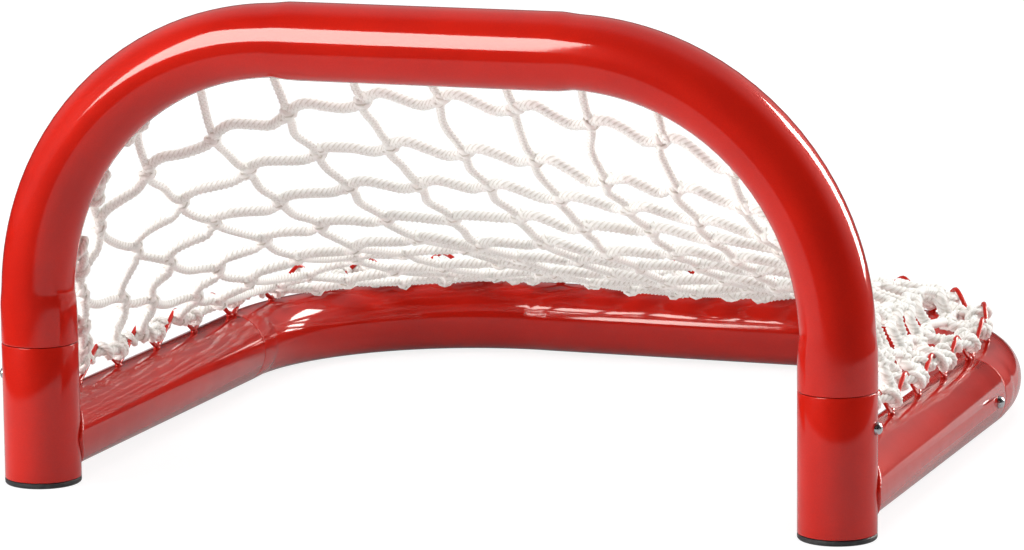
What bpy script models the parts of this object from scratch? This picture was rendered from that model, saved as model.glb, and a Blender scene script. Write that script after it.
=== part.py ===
"""Mini hockey goal: a knock-down frame of bent steel tube with a laced cord net.

Units are metres and +Z is up. The mouth faces -Y, and the origin is on the floor
under the middle of the goal's footprint.
"""

import math

import bmesh
import bpy
from mathutils import Matrix, Vector

MM = 0.001

# Tube frame
TUBE_OD = 38.1 * MM
TUBE_WALL = 1.6 * MM
POST_SPACING = 410.7 * MM
CROSSBAR_HEIGHT = 226.3 * MM
ARCH_BEND_RADIUS = 131.7 * MM
BASE_DEPTH = 389.5 * MM
REAR_BEND_RADIUS = 126.8 * MM
BEND_FLATTENING = 0.05
ARCH_LEG = 23.6 * MM
REAR_LEG = 17.7 * MM
POST_SLIP_SHARE = 2 / 3
REAR_SLIP = 38.0 * MM
SLIP_CLEARANCE = 0.35 * MM
SLIP_LEAD = 1.5 * MM
SLIP_LEAD_DEPTH = 0.4 * MM
SHOULDER_RADIUS = 1.6 * MM
GAP = 0.3 * MM
TUBE_SIDES = 24
BEND_STEPS = 10

# Feet
FOOT_THICKNESS = 3.0 * MM
FOOT_EDGE = 1.2 * MM
FOOT_PLUG_HEIGHT = 14.0 * MM
FOOT_PLUG_WALL = 2.0 * MM
FOOT_RIBS = 3
FOOT_RIB_HEIGHT = 0.9 * MM

# Welds between the stub posts and the side tubes
WELD_RADIUS = 2.0 * MM
WELD_POINTS = 36

# Spring buttons
BUTTON_RADIUS = 3.0 * MM
BUTTON_STANDOUT = 2.9 * MM
BUTTON_CLEARANCE = 0.3 * MM
BUTTON_SIDES = 12
POST_BUTTON_SHARE = 17 / 38
REAR_BUTTON_SETBACK = 14.0 * MM
RIVET_RADIUS = 1.4 * MM
RIVET_HEAD_RADIUS = 2.4 * MM
RIVET_HEAD_THICKNESS = 0.7 * MM
LEAF_WIDTH = 7.0 * MM
LEAF_THICKNESS = 0.7 * MM
LEAF_LENGTH = 32.0 * MM
LEAF_FLAT = 7.0 * MM
LEAF_BEND_RADIUS = 3.5 * MM

# Lacing wires
WIRE_RADIUS = 1.2 * MM
WIRE_HEIGHT = 16.0 * MM
WIRE_TIP_ROUNDING = 0.04
WIRE_END_MARGIN = 3.0 * MM
ARCH_HUMPS = 15
SIDE_HUMPS = 4
SIDE_WIRE_START = 45.0 * MM
REAR_HUMPS = 13

# Net
CORD_DIAMETER = 4.2 * MM
BORDER_LIFT = 8.0 * MM
BORDER_WEAVE = 4.8 * MM
WEAVE_SHARES = (0.0, 1.0, -0.5, -1.0)
NET_COLUMNS = ARCH_HUMPS
NET_ROWS = 11
REAR_LEFT_STOP = 8
NET_SAG = 45.0 * MM
SAG_REAR_LOSS = 0.25
NET_PULL = 26.0 * MM
SAG_SHAPE = 0.6
SAG_SPREAD = 0.6
SIDE_HOLD = 3.0
SIDE_INSET = 6.0 * MM

# Worked out from the sizes above
TUBE_RADIUS = TUBE_OD / 2
BORE_RADIUS = TUBE_RADIUS - TUBE_WALL
SLIP_RADIUS = BORE_RADIUS - SLIP_CLEARANCE
SLIP_BORE = SLIP_RADIUS - TUBE_WALL
POST_Y = -BASE_DEPTH / 2
STUB_SEAM_HEIGHT = CROSSBAR_HEIGHT - ARCH_BEND_RADIUS - ARCH_LEG
SIDE_SEAM_DISTANCE = BASE_DEPTH - REAR_BEND_RADIUS - REAR_LEG
POST_SLIP = POST_SLIP_SHARE * (STUB_SEAM_HEIGHT - FOOT_PLUG_HEIGHT)
POST_BUTTON_DROP = POST_BUTTON_SHARE * POST_SLIP
BASE_AXIS_HEIGHT = FOOT_THICKNESS + TUBE_RADIUS
BASE_SLOPE = math.asin(FOOT_THICKNESS / BASE_DEPTH)
BASE_PLACE = (
    Matrix.Translation((0, POST_Y, BASE_AXIS_HEIGHT))
    @ Matrix.Rotation(-BASE_SLOPE, 4, "X")
)

RED = ("red_painted_steel", (0.52, 0.012, 0.010), 0.35, 0.22)
BLACK = ("black_plastic", (0.02, 0.02, 0.022), 0.0, 0.5)
CHROME = ("bright_steel", (0.75, 0.76, 0.78), 1.0, 0.15)
SPRING = ("spring_steel", (0.30, 0.31, 0.34), 1.0, 0.35)
CORD = ("white_braided_cord", (0.82, 0.80, 0.76), 0.0, 0.8)


class BentPath:
    """Centre line of a tube bent into a U: two legs, two round corners and a bar.

    across and along are the directions in the plane of the U, and place turns
    (across, along, lift) into a point of the goal.
    """

    def __init__(self, half_span, bar, radius, place):
        self.half_span = half_span
        self.bar = bar
        self.radius = radius
        self.place = place
        self.half_bar = half_span - radius
        self.corner = radius * math.pi / 2

    def leg_distance(self, along):
        """Distance along the path from the bar's middle to a height on a leg."""
        return self.half_bar + self.corner + self.bar - self.radius - along

    def at(self, distance):
        """Point and outward normal in the U's plane. Left of the middle is negative."""
        side = math.copysign(1.0, distance)
        run = abs(distance)
        if run <= self.half_bar:
            across, along = run, self.bar
            normal = (0.0, 1.0)
        elif run <= self.half_bar + self.corner:
            turn = (run - self.half_bar) / self.radius
            across = self.half_bar + self.radius * math.sin(turn)
            along = self.bar - self.radius * (1 - math.cos(turn))
            normal = (math.sin(turn), math.cos(turn))
        else:
            across = self.half_span
            along = self.bar - self.radius - (run - self.half_bar - self.corner)
            normal = (1.0, 0.0)
        return (side * across, along), (side * normal[0], normal[1])

    def point(self, distance, outward=0.0, lift=0.0):
        """A point of the goal near the path, moved outward in the plane and off it."""
        centre, normal = self.at(distance)
        across = centre[0] + outward * normal[0]
        along = centre[1] + outward * normal[1]
        return self.place(across, along, lift)


ARCH = BentPath(
    POST_SPACING / 2,
    CROSSBAR_HEIGHT,
    ARCH_BEND_RADIUS,
    lambda across, along, lift: Vector((across, POST_Y + lift, along)),
)
BASE = BentPath(
    POST_SPACING / 2,
    BASE_DEPTH,
    REAR_BEND_RADIUS,
    lambda across, along, lift: BASE_PLACE @ Vector((across, along, lift)),
)


def clear_scene():
    """Remove every object that is already in the file."""
    for item in list(bpy.data.objects):
        bpy.data.objects.remove(item, do_unlink=True)


def make_collection(name):
    """A new collection under the scene."""
    collection = bpy.data.collections.new(name)
    bpy.context.scene.collection.children.link(collection)
    return collection


def make_material(look):
    """A Principled material of the given colour, metallic value and roughness."""
    name, colour, metallic, roughness = look
    material = bpy.data.materials.new(name)
    material.use_nodes = True
    shader = material.node_tree.nodes["Principled BSDF"]
    shader.inputs["Base Color"].default_value = (*colour, 1.0)
    shader.inputs["Metallic"].default_value = metallic
    shader.inputs["Roughness"].default_value = roughness
    return material


def add_object(name, mesh, collection, look=None, matrix=None):
    """Link a mesh as a named object, with its own material and place."""
    item = bpy.data.objects.new(name, mesh)
    collection.objects.link(item)
    if look is not None:
        mesh.materials.append(make_material(look))
    if matrix is not None:
        item.matrix_world = matrix
    return item


def finish_mesh(shape, name, smooth_angle=math.radians(40)):
    """Turn a closed bmesh into a mesh whose faces point out."""
    bmesh.ops.recalc_face_normals(shape, faces=shape.faces)
    mesh = bpy.data.meshes.new(name)
    shape.to_mesh(mesh)
    shape.free()
    mesh.shade_smooth()
    mesh.set_sharp_from_angle(angle=smooth_angle)
    return mesh


def add_ring(shape, path, distance, in_plane, off_plane):
    """One ring of a tube's skin round the path."""
    ring = []
    for step in range(TUBE_SIDES):
        angle = math.tau * step / TUBE_SIDES
        outward = in_plane * math.cos(angle)
        lift = off_plane * math.sin(angle)
        ring.append(shape.verts.new(path.point(distance, outward, lift)))
    return ring


def bridge(shape, first, second):
    """Faces between two rings of one skin."""
    count = len(first)
    for step in range(count):
        after = (step + 1) % count
        shape.faces.new((first[step], first[after], second[after], second[step]))


def tube_wall(name, path, stations):
    """A hollow tube lofted through stations of (distance, radius, flattening)."""
    shape = bmesh.new()
    outer = []
    inner = []
    for distance, radius, flattening in stations:
        bore = radius - TUBE_WALL
        flat = 1 - flattening
        outer.append(add_ring(shape, path, distance, radius * flat, radius))
        inner.append(add_ring(shape, path, distance, bore - radius * flattening, bore))
    for skin in (outer, inner):
        for first, second in zip(skin, skin[1:]):
            bridge(shape, first, second)
    for end in (0, -1):
        bridge(shape, outer[end], inner[end])
    return finish_mesh(shape, name)


def slip_stations(end, seam):
    """Stations of a swaged end, from its tip to the full tube past the shoulder."""
    return [
        (end, SLIP_RADIUS - SLIP_LEAD_DEPTH, 0.0),
        (end - SLIP_LEAD, SLIP_RADIUS, 0.0),
        (seam - GAP, SLIP_RADIUS, 0.0),
        (seam - GAP - 0.4 * SHOULDER_RADIUS, TUBE_RADIUS - 0.3 * SHOULDER_RADIUS, 0.0),
        (seam - GAP - SHOULDER_RADIUS, TUBE_RADIUS, 0.0),
    ]


def bent_stations(path, seam_along, slip):
    """Stations of a bent tube whose two ends slip into their neighbours."""
    seam = path.leg_distance(seam_along)
    half = slip_stations(seam + slip, seam)
    corner_end = path.half_bar + path.corner
    half.append((corner_end, TUBE_RADIUS, 0.0))
    for step in range(BEND_STEPS + 1):
        share = (step + 0.35) / (BEND_STEPS + 0.7)
        half.append((corner_end - share * path.corner, TUBE_RADIUS, BEND_FLATTENING))
    half.append((path.half_bar, TUBE_RADIUS, 0.0))
    left = [(-distance, radius, flat) for distance, radius, flat in half]
    return left + list(reversed(half))


def straight_wall(name, length):
    """A plain round tube along +Z from the origin, open at both ends."""
    shape = bmesh.new()
    rings = []
    for radius in (TUBE_RADIUS, BORE_RADIUS):
        for height in (0.0, length):
            ring = []
            for step in range(TUBE_SIDES):
                angle = math.tau * step / TUBE_SIDES
                ring.append(
                    shape.verts.new(
                        (radius * math.cos(angle), radius * math.sin(angle), height)
                    )
                )
            rings.append(ring)
    outer_low, outer_high, inner_low, inner_high = rings
    bridge(shape, outer_low, outer_high)
    bridge(shape, inner_low, inner_high)
    bridge(shape, outer_low, inner_low)
    bridge(shape, outer_high, inner_high)
    return finish_mesh(shape, name)


def cylinder_cutter(name, radius, depth, sides, matrix, cutters):
    """A closed cylinder that a Boolean takes away."""
    shape = bmesh.new()
    bmesh.ops.create_cone(
        shape,
        cap_ends=True,
        segments=sides,
        radius1=radius,
        radius2=radius,
        depth=depth,
    )
    cutter = add_object(name, finish_mesh(shape, name), cutters, matrix=matrix)
    cutter.hide_render = True
    cutter.display_type = "WIRE"
    return cutter


def cut(item, cutter):
    """Take a cutter away from an object."""
    boolean = item.modifiers.new("cut_" + cutter.name, "BOOLEAN")
    boolean.operation = "DIFFERENCE"
    boolean.solver = "EXACT"
    boolean.object = cutter


def curve_object(name, points, radius, resolution, collection, cyclic=False):
    """A round wire through the points."""
    curve = bpy.data.curves.new(name, "CURVE")
    curve.dimensions = "3D"
    curve.bevel_depth = radius
    curve.bevel_resolution = resolution
    curve.use_fill_caps = True
    spline = curve.splines.new("POLY")
    spline.points.add(len(points) - 1)
    for place, point in zip(spline.points, points):
        place.co = (*point, 1.0)
    spline.use_cyclic_u = cyclic
    item = bpy.data.objects.new(name, curve)
    collection.objects.link(item)
    return item


def mesh_from_curve(item, look, collection):
    """Replace a curve object by its welded mesh, so that it can be cut."""
    name = item.name
    graph = bpy.context.evaluated_depsgraph_get()
    mesh = bpy.data.meshes.new_from_object(item.evaluated_get(graph))
    matrix = item.matrix_world.copy()
    bpy.data.objects.remove(item, do_unlink=True)
    shape = bmesh.new()
    shape.from_mesh(mesh)
    bpy.data.meshes.remove(mesh)
    bmesh.ops.remove_doubles(shape, verts=shape.verts, dist=0.01 * MM)
    return add_object(name, finish_mesh(shape, name), collection, look, matrix)


def add_turned(name, profile, steps, collection, look, matrix):
    """A turned piece: a profile of (radius, height) run round its own Z axis."""
    mesh = bpy.data.meshes.new(name)
    corners = [(radius, 0.0, height) for radius, height in profile]
    edges = [(index, index + 1) for index in range(len(corners) - 1)]
    mesh.from_pydata(corners, edges, [])
    item = add_object(name, mesh, collection, look, matrix)
    screw = item.modifiers.new("turn", "SCREW")
    screw.steps = steps
    screw.render_steps = steps
    screw.use_merge_vertices = True
    screw.merge_threshold = 0.01 * MM
    screw.use_smooth_shade = True
    return item


def add_arch(parts, holes):
    """The bent arch: crossbar and upper posts in one tube with two slip ends."""
    stations = bent_stations(ARCH, STUB_SEAM_HEIGHT, POST_SLIP)
    arch = add_object("arch_tube", tube_wall("arch_tube", ARCH, stations), parts, RED)
    for hole in holes:
        cut(arch, hole)


def add_rear_tube(parts, holes):
    """The rear half of the base loop, bent like the arch."""
    stations = bent_stations(BASE, SIDE_SEAM_DISTANCE, REAR_SLIP)
    rear = add_object("rear_tube", tube_wall("rear_tube", BASE, stations), parts, RED)
    for hole in holes:
        cut(rear, hole)


def post_place(sign):
    """Where a post's axis meets the floor."""
    return Matrix.Translation((sign * POST_SPACING / 2, POST_Y, 0))


def side_place(sign):
    """A side tube's own frame: its +Z runs back along the tube from the post axis."""
    turn = Matrix.Rotation(-math.pi / 2, 4, "X")
    return BASE_PLACE @ Matrix.Translation((sign * POST_SPACING / 2, 0, 0)) @ turn


def add_stub_post(side, sign, parts, hole):
    """The short socket that stands at each front corner."""
    length = STUB_SEAM_HEIGHT - FOOT_THICKNESS
    matrix = post_place(sign) @ Matrix.Translation((0, 0, FOOT_THICKNESS))
    name = side + "_stub_post"
    stub = add_object(name, straight_wall(name, length), parts, RED, matrix)
    cut(stub, hole)


def add_side_tube(side, sign, parts, hole, cope):
    """A side tube, coped to fit round the back of its stub post."""
    name = side + "_side_tube"
    mesh = straight_wall(name, SIDE_SEAM_DISTANCE)
    tube = add_object(name, mesh, parts, RED, side_place(sign))
    cut(tube, cope)
    cut(tube, hole)


def add_weld_bead(side, sign, parts, cope, side_cutter):
    """The weld that runs round the joint of side tube and stub post."""
    reach = TUBE_RADIUS + GAP
    points = []
    for step in range(WELD_POINTS):
        angle = math.tau * step / WELD_POINTS
        across = TUBE_RADIUS * math.sin(angle)
        along = math.sqrt(reach**2 - across**2)
        up = TUBE_RADIUS * math.cos(angle)
        centre = Vector((sign * POST_SPACING / 2 + across, along, up))
        points.append(BASE_PLACE @ centre)
    name = side + "_weld_bead"
    bead = curve_object(name, points, WELD_RADIUS, 2, parts, cyclic=True)
    bead = mesh_from_curve(bead, RED, parts)
    cut(bead, cope)
    cut(bead, side_cutter)


def add_foot_cap(side, sign, parts):
    """A black end cap: a flat flange under the post and a ribbed plug inside it."""
    flange_top = FOOT_THICKNESS - GAP
    rib_radius = BORE_RADIUS - GAP
    core_radius = rib_radius - FOOT_RIB_HEIGHT
    cup_radius = core_radius - FOOT_PLUG_WALL
    profile = [
        (0.0, flange_top + FOOT_PLUG_WALL),
        (cup_radius, flange_top + FOOT_PLUG_WALL),
        (cup_radius, FOOT_PLUG_HEIGHT),
        (core_radius, FOOT_PLUG_HEIGHT),
    ]
    rib_pitch = (FOOT_PLUG_HEIGHT - flange_top) / FOOT_RIBS
    for rib in range(FOOT_RIBS):
        top = FOOT_PLUG_HEIGHT - rib * rib_pitch
        profile.append((core_radius, top - 0.35 * rib_pitch))
        profile.append((rib_radius, top - 0.6 * rib_pitch))
        profile.append((rib_radius, top - 0.75 * rib_pitch))
        profile.append((core_radius, top - 0.85 * rib_pitch))
    profile += [
        (core_radius, flange_top),
        (TUBE_RADIUS, flange_top),
        (TUBE_RADIUS, FOOT_EDGE),
        (TUBE_RADIUS - 0.3 * FOOT_EDGE, 0.3 * FOOT_EDGE),
        (TUBE_RADIUS - FOOT_EDGE, 0.0),
        (0.0, 0.0),
    ]
    name = side + "_foot_cap"
    add_turned(name, profile, TUBE_SIDES, parts, BLACK, post_place(sign))


def leaf_face():
    """How far a leaf's outer face lies from the tube's axis when it rests on the bore."""
    bore = SLIP_BORE * math.cos(math.pi / TUBE_SIDES) - GAP
    return math.sqrt(bore**2 - (LEAF_WIDTH / 2) ** 2)


def add_button(name, parts, matrix):
    """A spring button: domed head and shank, with a rivet through the leaf."""
    face = leaf_face()
    head_in = face - LEAF_THICKNESS - GAP
    shank_in = face + GAP
    shoulder = TUBE_RADIUS + 0.3 * BUTTON_STANDOUT
    profile = []
    for step in range(5):
        angle = math.pi / 2 * step / 4
        radius = BUTTON_RADIUS * math.sin(angle)
        rise = (BUTTON_STANDOUT - 0.3 * BUTTON_STANDOUT) * math.cos(angle)
        profile.append((radius, shoulder + rise))
    profile += [
        (BUTTON_RADIUS, shank_in),
        (RIVET_RADIUS, shank_in),
        (RIVET_RADIUS, head_in),
        (RIVET_HEAD_RADIUS, head_in),
        (RIVET_HEAD_RADIUS, head_in - 0.6 * RIVET_HEAD_THICKNESS),
        (0.6 * RIVET_HEAD_RADIUS, head_in - RIVET_HEAD_THICKNESS),
        (0.0, head_in - RIVET_HEAD_THICKNESS),
    ]
    add_turned(name, profile, BUTTON_SIDES, parts, CHROME, matrix)


def leaf_line():
    """The bent line of a spring leaf: (distance from the axis, distance up the tube)."""
    face = leaf_face() - LEAF_THICKNESS / 2
    line = [(face, -LEAF_FLAT), (face, LEAF_FLAT)]
    centre = LEAF_LENGTH - LEAF_FLAT - LEAF_BEND_RADIUS
    for step in range(5):
        angle = math.pi * (step + 0.5) / 5
        out = LEAF_BEND_RADIUS * math.cos(angle)
        line.append((out, centre + LEAF_BEND_RADIUS * math.sin(angle)))
    line += [(-face, LEAF_FLAT), (-face, -LEAF_FLAT)]
    return line


def add_leaf_spring(name, parts, matrix, rivet_hole):
    """A V-shaped leaf that presses its button out and bears on the far wall."""
    shape = bmesh.new()
    rows = []
    for out, up in leaf_line():
        low = shape.verts.new((out, -LEAF_WIDTH / 2, up))
        high = shape.verts.new((out, LEAF_WIDTH / 2, up))
        rows.append((low, high))
    for first, second in zip(rows, rows[1:]):
        shape.faces.new((first[0], second[0], second[1], first[1]))
    mesh = bpy.data.meshes.new(name)
    shape.to_mesh(mesh)
    shape.free()
    leaf = add_object(name, mesh, parts, SPRING, matrix)
    solidify = leaf.modifiers.new("thickness", "SOLIDIFY")
    solidify.thickness = LEAF_THICKNESS
    solidify.offset = 0.0
    cut(leaf, rivet_hole)


def button_places():
    """The four spring buttons: name and frame, whose +X points out through the hole."""
    places = []
    for side, sign in (("left", -1), ("right", 1)):
        face_out = Matrix.Rotation(0 if sign > 0 else math.pi, 4, "Z")
        height = STUB_SEAM_HEIGHT - POST_BUTTON_DROP
        post = post_place(sign) @ Matrix.Translation((0, 0, height)) @ face_out
        places.append((side + "_post", post))
        back = SIDE_SEAM_DISTANCE - REAR_BUTTON_SETBACK
        rear = side_place(sign) @ Matrix.Translation((0, 0, back)) @ face_out
        places.append((side + "_rear", rear))
    return places


def add_buttons(parts, cutters):
    """Buttons and leaves, and the cutters that make their holes in the tubes."""
    turn_out = Matrix.Rotation(math.pi / 2, 4, "Y")
    hole_radius = (BUTTON_RADIUS + BUTTON_CLEARANCE) / math.cos(math.pi / 16)
    rivet_hole_radius = (RIVET_RADIUS + BUTTON_CLEARANCE) / math.cos(math.pi / 12)
    holes = {}
    for place, matrix in button_places():
        middle = Matrix.Translation((TUBE_RADIUS, 0, 0))
        holes[place] = cylinder_cutter(
            place + "_hole", hole_radius, TUBE_RADIUS, 16, matrix @ middle @ turn_out, cutters
        )
        at_leaf = Matrix.Translation((leaf_face(), 0, 0))
        rivet_hole = cylinder_cutter(
            place + "_rivet_hole",
            rivet_hole_radius,
            4 * LEAF_THICKNESS,
            12,
            matrix @ at_leaf @ turn_out,
            cutters,
        )
        add_button(place + "_button", parts, matrix @ turn_out)
        add_leaf_spring(place + "_leaf_spring", parts, matrix, rivet_hole)
    return holes


def wire_height(phase):
    """Height of a lacing wire above the tube: a zigzag with rounded tips, foot at 0."""
    foot = WIRE_RADIUS + GAP
    sharpness = 1 - WIRE_TIP_ROUNDING
    turned = math.asin(sharpness * math.cos(math.tau * phase))
    share = 0.5 - turned / (2 * math.asin(sharpness))
    return TUBE_RADIUS + foot + share * (WIRE_HEIGHT - foot)


class LacingWire:
    """A zigzag wire welded along a tube, for the net to be laced to."""

    def __init__(self, path, start, end, humps):
        self.path = path
        self.start = start
        self.pitch = (end - start) / humps
        self.humps = humps

    def add(self, name, parts):
        """Bend the wire: a few points on each leg, more round each tip."""
        phases = (0.0, 0.08, 0.4, 0.46, 0.5, 0.54, 0.6, 0.92)
        points = []
        for hump in range(self.humps):
            for phase in phases:
                distance = self.start + (hump + phase) * self.pitch
                points.append(self.path.point(distance, 0.0, wire_height(phase)))
        end = self.start + self.humps * self.pitch
        points.append(self.path.point(end, 0.0, wire_height(0.0)))
        wire = curve_object(name, points, WIRE_RADIUS, 1, parts)
        wire.data.materials.append(make_material(RED))

    def thread(self, quarter):
        """Where border cord threaded through the humps lies, by quarters of the pitch.

        The cord crosses the wire's plane over each foot and under each tip. It passes
        one leg of a hump outside and the other inside, where the net hangs.
        """
        weave = BORDER_WEAVE * WEAVE_SHARES[quarter % 4]
        distance = self.start + quarter * self.pitch / 4
        return self.path.point(distance, weave, TUBE_RADIUS + BORDER_LIFT)

    def edge(self, first_half, last_half):
        """Border cord between two stops, counted in half pitches from the start."""
        stops = [self.thread(2 * half) for half in range(first_half, last_half + 1)]
        between = [[self.thread(2 * half + 1)] for half in range(first_half, last_half)]
        return Edge(stops, between)


class Edge:
    """Border cord: stops where a knot can sit, and the points between the stops."""

    def __init__(self, stops, between):
        self.stops = stops
        self.between = between

    def then(self, other, bridge_points=()):
        """This edge, the points of the jump, and the next edge."""
        between = self.between + [list(bridge_points)] + other.between
        return Edge(self.stops + other.stops, between)

    def turned(self):
        """The same edge from its other end."""
        between = [list(reversed(points)) for points in reversed(self.between)]
        return Edge(list(reversed(self.stops)), between)

    def split(self, intervals):
        """The stops that carry knots, and the points between each two of them."""
        last = len(self.stops) - 1
        picks = [round(step * last / intervals) for step in range(intervals + 1)]
        runs = []
        for first, second in zip(picks, picks[1:]):
            run = []
            for stop in range(first, second):
                run += [self.stops[stop]] if stop > first else []
                run += self.between[stop]
            runs.append(run)
        return [self.stops[pick] for pick in picks], runs


def lacing_wires():
    """The four lacing wires, each kept clear of the seams at its ends."""
    arch_end = ARCH.leg_distance(STUB_SEAM_HEIGHT) - WIRE_END_MARGIN
    side_front = BASE.leg_distance(SIDE_WIRE_START)
    side_back = BASE.leg_distance(SIDE_SEAM_DISTANCE) + WIRE_END_MARGIN
    rear_end = BASE.leg_distance(SIDE_SEAM_DISTANCE) - WIRE_END_MARGIN
    return {
        "arch": LacingWire(ARCH, -arch_end, arch_end, ARCH_HUMPS),
        "left_side": LacingWire(BASE, -side_front, -side_back, SIDE_HUMPS),
        "rear": LacingWire(BASE, -rear_end, rear_end, REAR_HUMPS),
        "right_side": LacingWire(BASE, side_front, side_back, SIDE_HUMPS),
    }


def border_edges(wires):
    """The net's front and rear edges, left to right, and its sides, front to back."""
    front = wires["arch"].edge(0, 2 * ARCH_HUMPS)
    right_stop = REAR_LEFT_STOP + NET_COLUMNS
    last_stop = 2 * REAR_HUMPS - 1
    rear_wire = wires["rear"]
    rear = rear_wire.edge(REAR_LEFT_STOP, right_stop)
    sides = []
    for corner, side, turn, past_seam in (
        (front.stops[0], "left_side", rear_wire.edge(1, REAR_LEFT_STOP), 1),
        (
            front.stops[-1],
            "right_side",
            rear_wire.edge(right_stop, last_stop).turned(),
            2 * last_stop + 1,
        ),
    ):
        wire = wires[side]
        jump = [wire.thread(4 * SIDE_HUMPS - 1), rear_wire.thread(past_seam)]
        run = Edge([corner], []).then(wire.edge(0, 2 * SIDE_HUMPS - 1))
        sides.append(run.then(turn, jump))
    return front, sides[0], rear, sides[1]


def knot_place(front, left, rear, right, column, row):
    """A knot: the way from front to rear edge, drawn to the side edges, and the sag."""
    across = column / NET_COLUMNS
    back = row / NET_ROWS
    point = front[column].lerp(rear[column], back)
    for side, corners, distance in (
        (left, (front[0], rear[0]), across),
        (right, (front[-1], rear[-1]), 1 - across),
    ):
        point += (side[row] - corners[0].lerp(corners[1], back)) * (1 - distance) ** SIDE_HOLD
    if row in (0, NET_ROWS) or column in (0, NET_COLUMNS):
        return point
    point.x += SIDE_INSET / column - SIDE_INSET / (NET_COLUMNS - column)
    spread = math.sin(math.pi * across) ** SAG_SPREAD
    swell = math.sin(math.pi * back)
    point.y -= NET_PULL * spread * swell
    point.z -= NET_SAG * spread * swell**SAG_SHAPE * (1 - SAG_REAR_LOSS * back)
    return point


def add_net(wires, parts):
    """The net: one lattice of cord with a gap for each mesh, threaded on the wires."""
    edges = border_edges(wires)
    counts = (NET_COLUMNS, NET_ROWS, NET_COLUMNS, NET_ROWS)
    split = [edge.split(count) for edge, count in zip(edges, counts)]
    knots = [part[0] for part in split]
    front_runs, left_runs, rear_runs, right_runs = (part[1] for part in split)
    shape = bmesh.new()
    grid = {}
    for column in range(NET_COLUMNS + 1):
        for row in range(NET_ROWS + 1):
            place = knot_place(*knots, column, row)
            grid[column, row] = shape.verts.new(place)

    def add_run(points):
        """Vertices of the border between two knots."""
        return [shape.verts.new(point) for point in points]

    runs = {}
    for column in range(NET_COLUMNS):
        runs["front", column] = add_run(front_runs[column])
        runs["rear", column] = add_run(rear_runs[column])
    for row in range(NET_ROWS):
        runs["left", row] = add_run(left_runs[row])
        runs["right", row] = add_run(right_runs[row])
    for column in range(NET_COLUMNS):
        for row in range(NET_ROWS):
            loop = [grid[column, row]]
            loop += runs["front", column] if row == 0 else []
            loop.append(grid[column + 1, row])
            loop += runs["right", row] if column == NET_COLUMNS - 1 else []
            loop.append(grid[column + 1, row + 1])
            loop += reversed(runs["rear", column]) if row == NET_ROWS - 1 else []
            loop.append(grid[column, row + 1])
            loop += reversed(runs["left", row]) if column == 0 else []
            shape.faces.new(loop)
    bmesh.ops.recalc_face_normals(shape, faces=shape.faces)
    mesh = bpy.data.meshes.new("net")
    shape.to_mesh(mesh)
    shape.free()
    net = add_object("net", mesh, parts, CORD)
    lattice = net.modifiers.new("cords", "WIREFRAME")
    lattice.thickness = CORD_DIAMETER
    lattice.use_boundary = True
    lattice.use_even_offset = False
    lattice.use_replace = True


def build_goal():
    """Make every piece of the goal."""
    clear_scene()
    parts = make_collection("mini_hockey_goal")
    cutters = make_collection("cutters")
    holes = add_buttons(parts, cutters)
    add_arch(parts, [holes["left_post"], holes["right_post"]])
    add_rear_tube(parts, [holes["left_rear"], holes["right_rear"]])
    for side, sign in (("left", -1), ("right", 1)):
        cope = cylinder_cutter(
            side + "_cope",
            TUBE_RADIUS + GAP,
            4 * TUBE_OD,
            TUBE_SIDES,
            post_place(sign),
            cutters,
        )
        along = Matrix.Translation((0, 0, 2 * TUBE_OD))
        side_cutter = cylinder_cutter(
            side + "_tube_space",
            TUBE_RADIUS + GAP,
            4 * TUBE_OD,
            TUBE_SIDES,
            side_place(sign) @ along,
            cutters,
        )
        add_stub_post(side, sign, parts, holes[side + "_post"])
        add_side_tube(side, sign, parts, holes[side + "_rear"], cope)
        add_weld_bead(side, sign, parts, cope, side_cutter)
        add_foot_cap(side, sign, parts)
    wires = lacing_wires()
    for place, wire in wires.items():
        wire.add(place + "_lacing_wire", parts)
    add_net(wires, parts)


build_goal()
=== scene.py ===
"""Mini hockey goal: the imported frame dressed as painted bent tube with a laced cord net.

Units are metres and +Z is up. The mouth faces -Y, and the origin is on the floor under
the middle of the goal's footprint.
"""

import logging
import math
from collections.abc import Sequence
from dataclasses import dataclass, field, replace
from enum import Enum

import bmesh
import bpy
import numpy as np
from mathutils import Matrix, Vector, noise


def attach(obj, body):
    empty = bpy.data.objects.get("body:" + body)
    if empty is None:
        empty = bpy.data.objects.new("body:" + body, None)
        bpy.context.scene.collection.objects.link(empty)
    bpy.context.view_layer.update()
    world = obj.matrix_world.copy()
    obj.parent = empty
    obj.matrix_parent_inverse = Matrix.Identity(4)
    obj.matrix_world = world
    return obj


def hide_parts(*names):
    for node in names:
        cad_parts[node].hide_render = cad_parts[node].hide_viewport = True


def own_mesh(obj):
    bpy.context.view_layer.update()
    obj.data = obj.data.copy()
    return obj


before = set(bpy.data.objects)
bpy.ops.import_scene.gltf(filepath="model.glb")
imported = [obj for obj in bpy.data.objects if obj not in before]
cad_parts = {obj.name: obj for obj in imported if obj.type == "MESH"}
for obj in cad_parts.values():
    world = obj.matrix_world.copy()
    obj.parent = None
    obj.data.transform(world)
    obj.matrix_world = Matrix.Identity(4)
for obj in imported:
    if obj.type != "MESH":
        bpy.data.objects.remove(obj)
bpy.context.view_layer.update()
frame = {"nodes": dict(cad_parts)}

MM = 0.001
TINY = 1e-12
MERGE = 0.002 * MM
ON_X = Matrix.Rotation(math.pi / 2, 4, "Y")
FRAME_BODY = "frame"
LOG = logging.getLogger("mini_hockey_goal")

Colour = tuple[float, float, float]
Profile = list[tuple[float, float]]
Grid = dict[tuple[int, int], Vector]
Shape = bmesh.types.BMesh
Socket = bpy.types.NodeSocket
Node = bpy.types.Node


class Slot(Enum):
    """Material slots, each of which picks a finish."""

    RED_FRAME = "red_frame"
    BLACK_CAP = "black_cap"
    CHROME_BUTTON = "chrome_button"
    LEAF_SPRING = "leaf_spring"
    NET_CORD = "net_cord"


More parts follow.
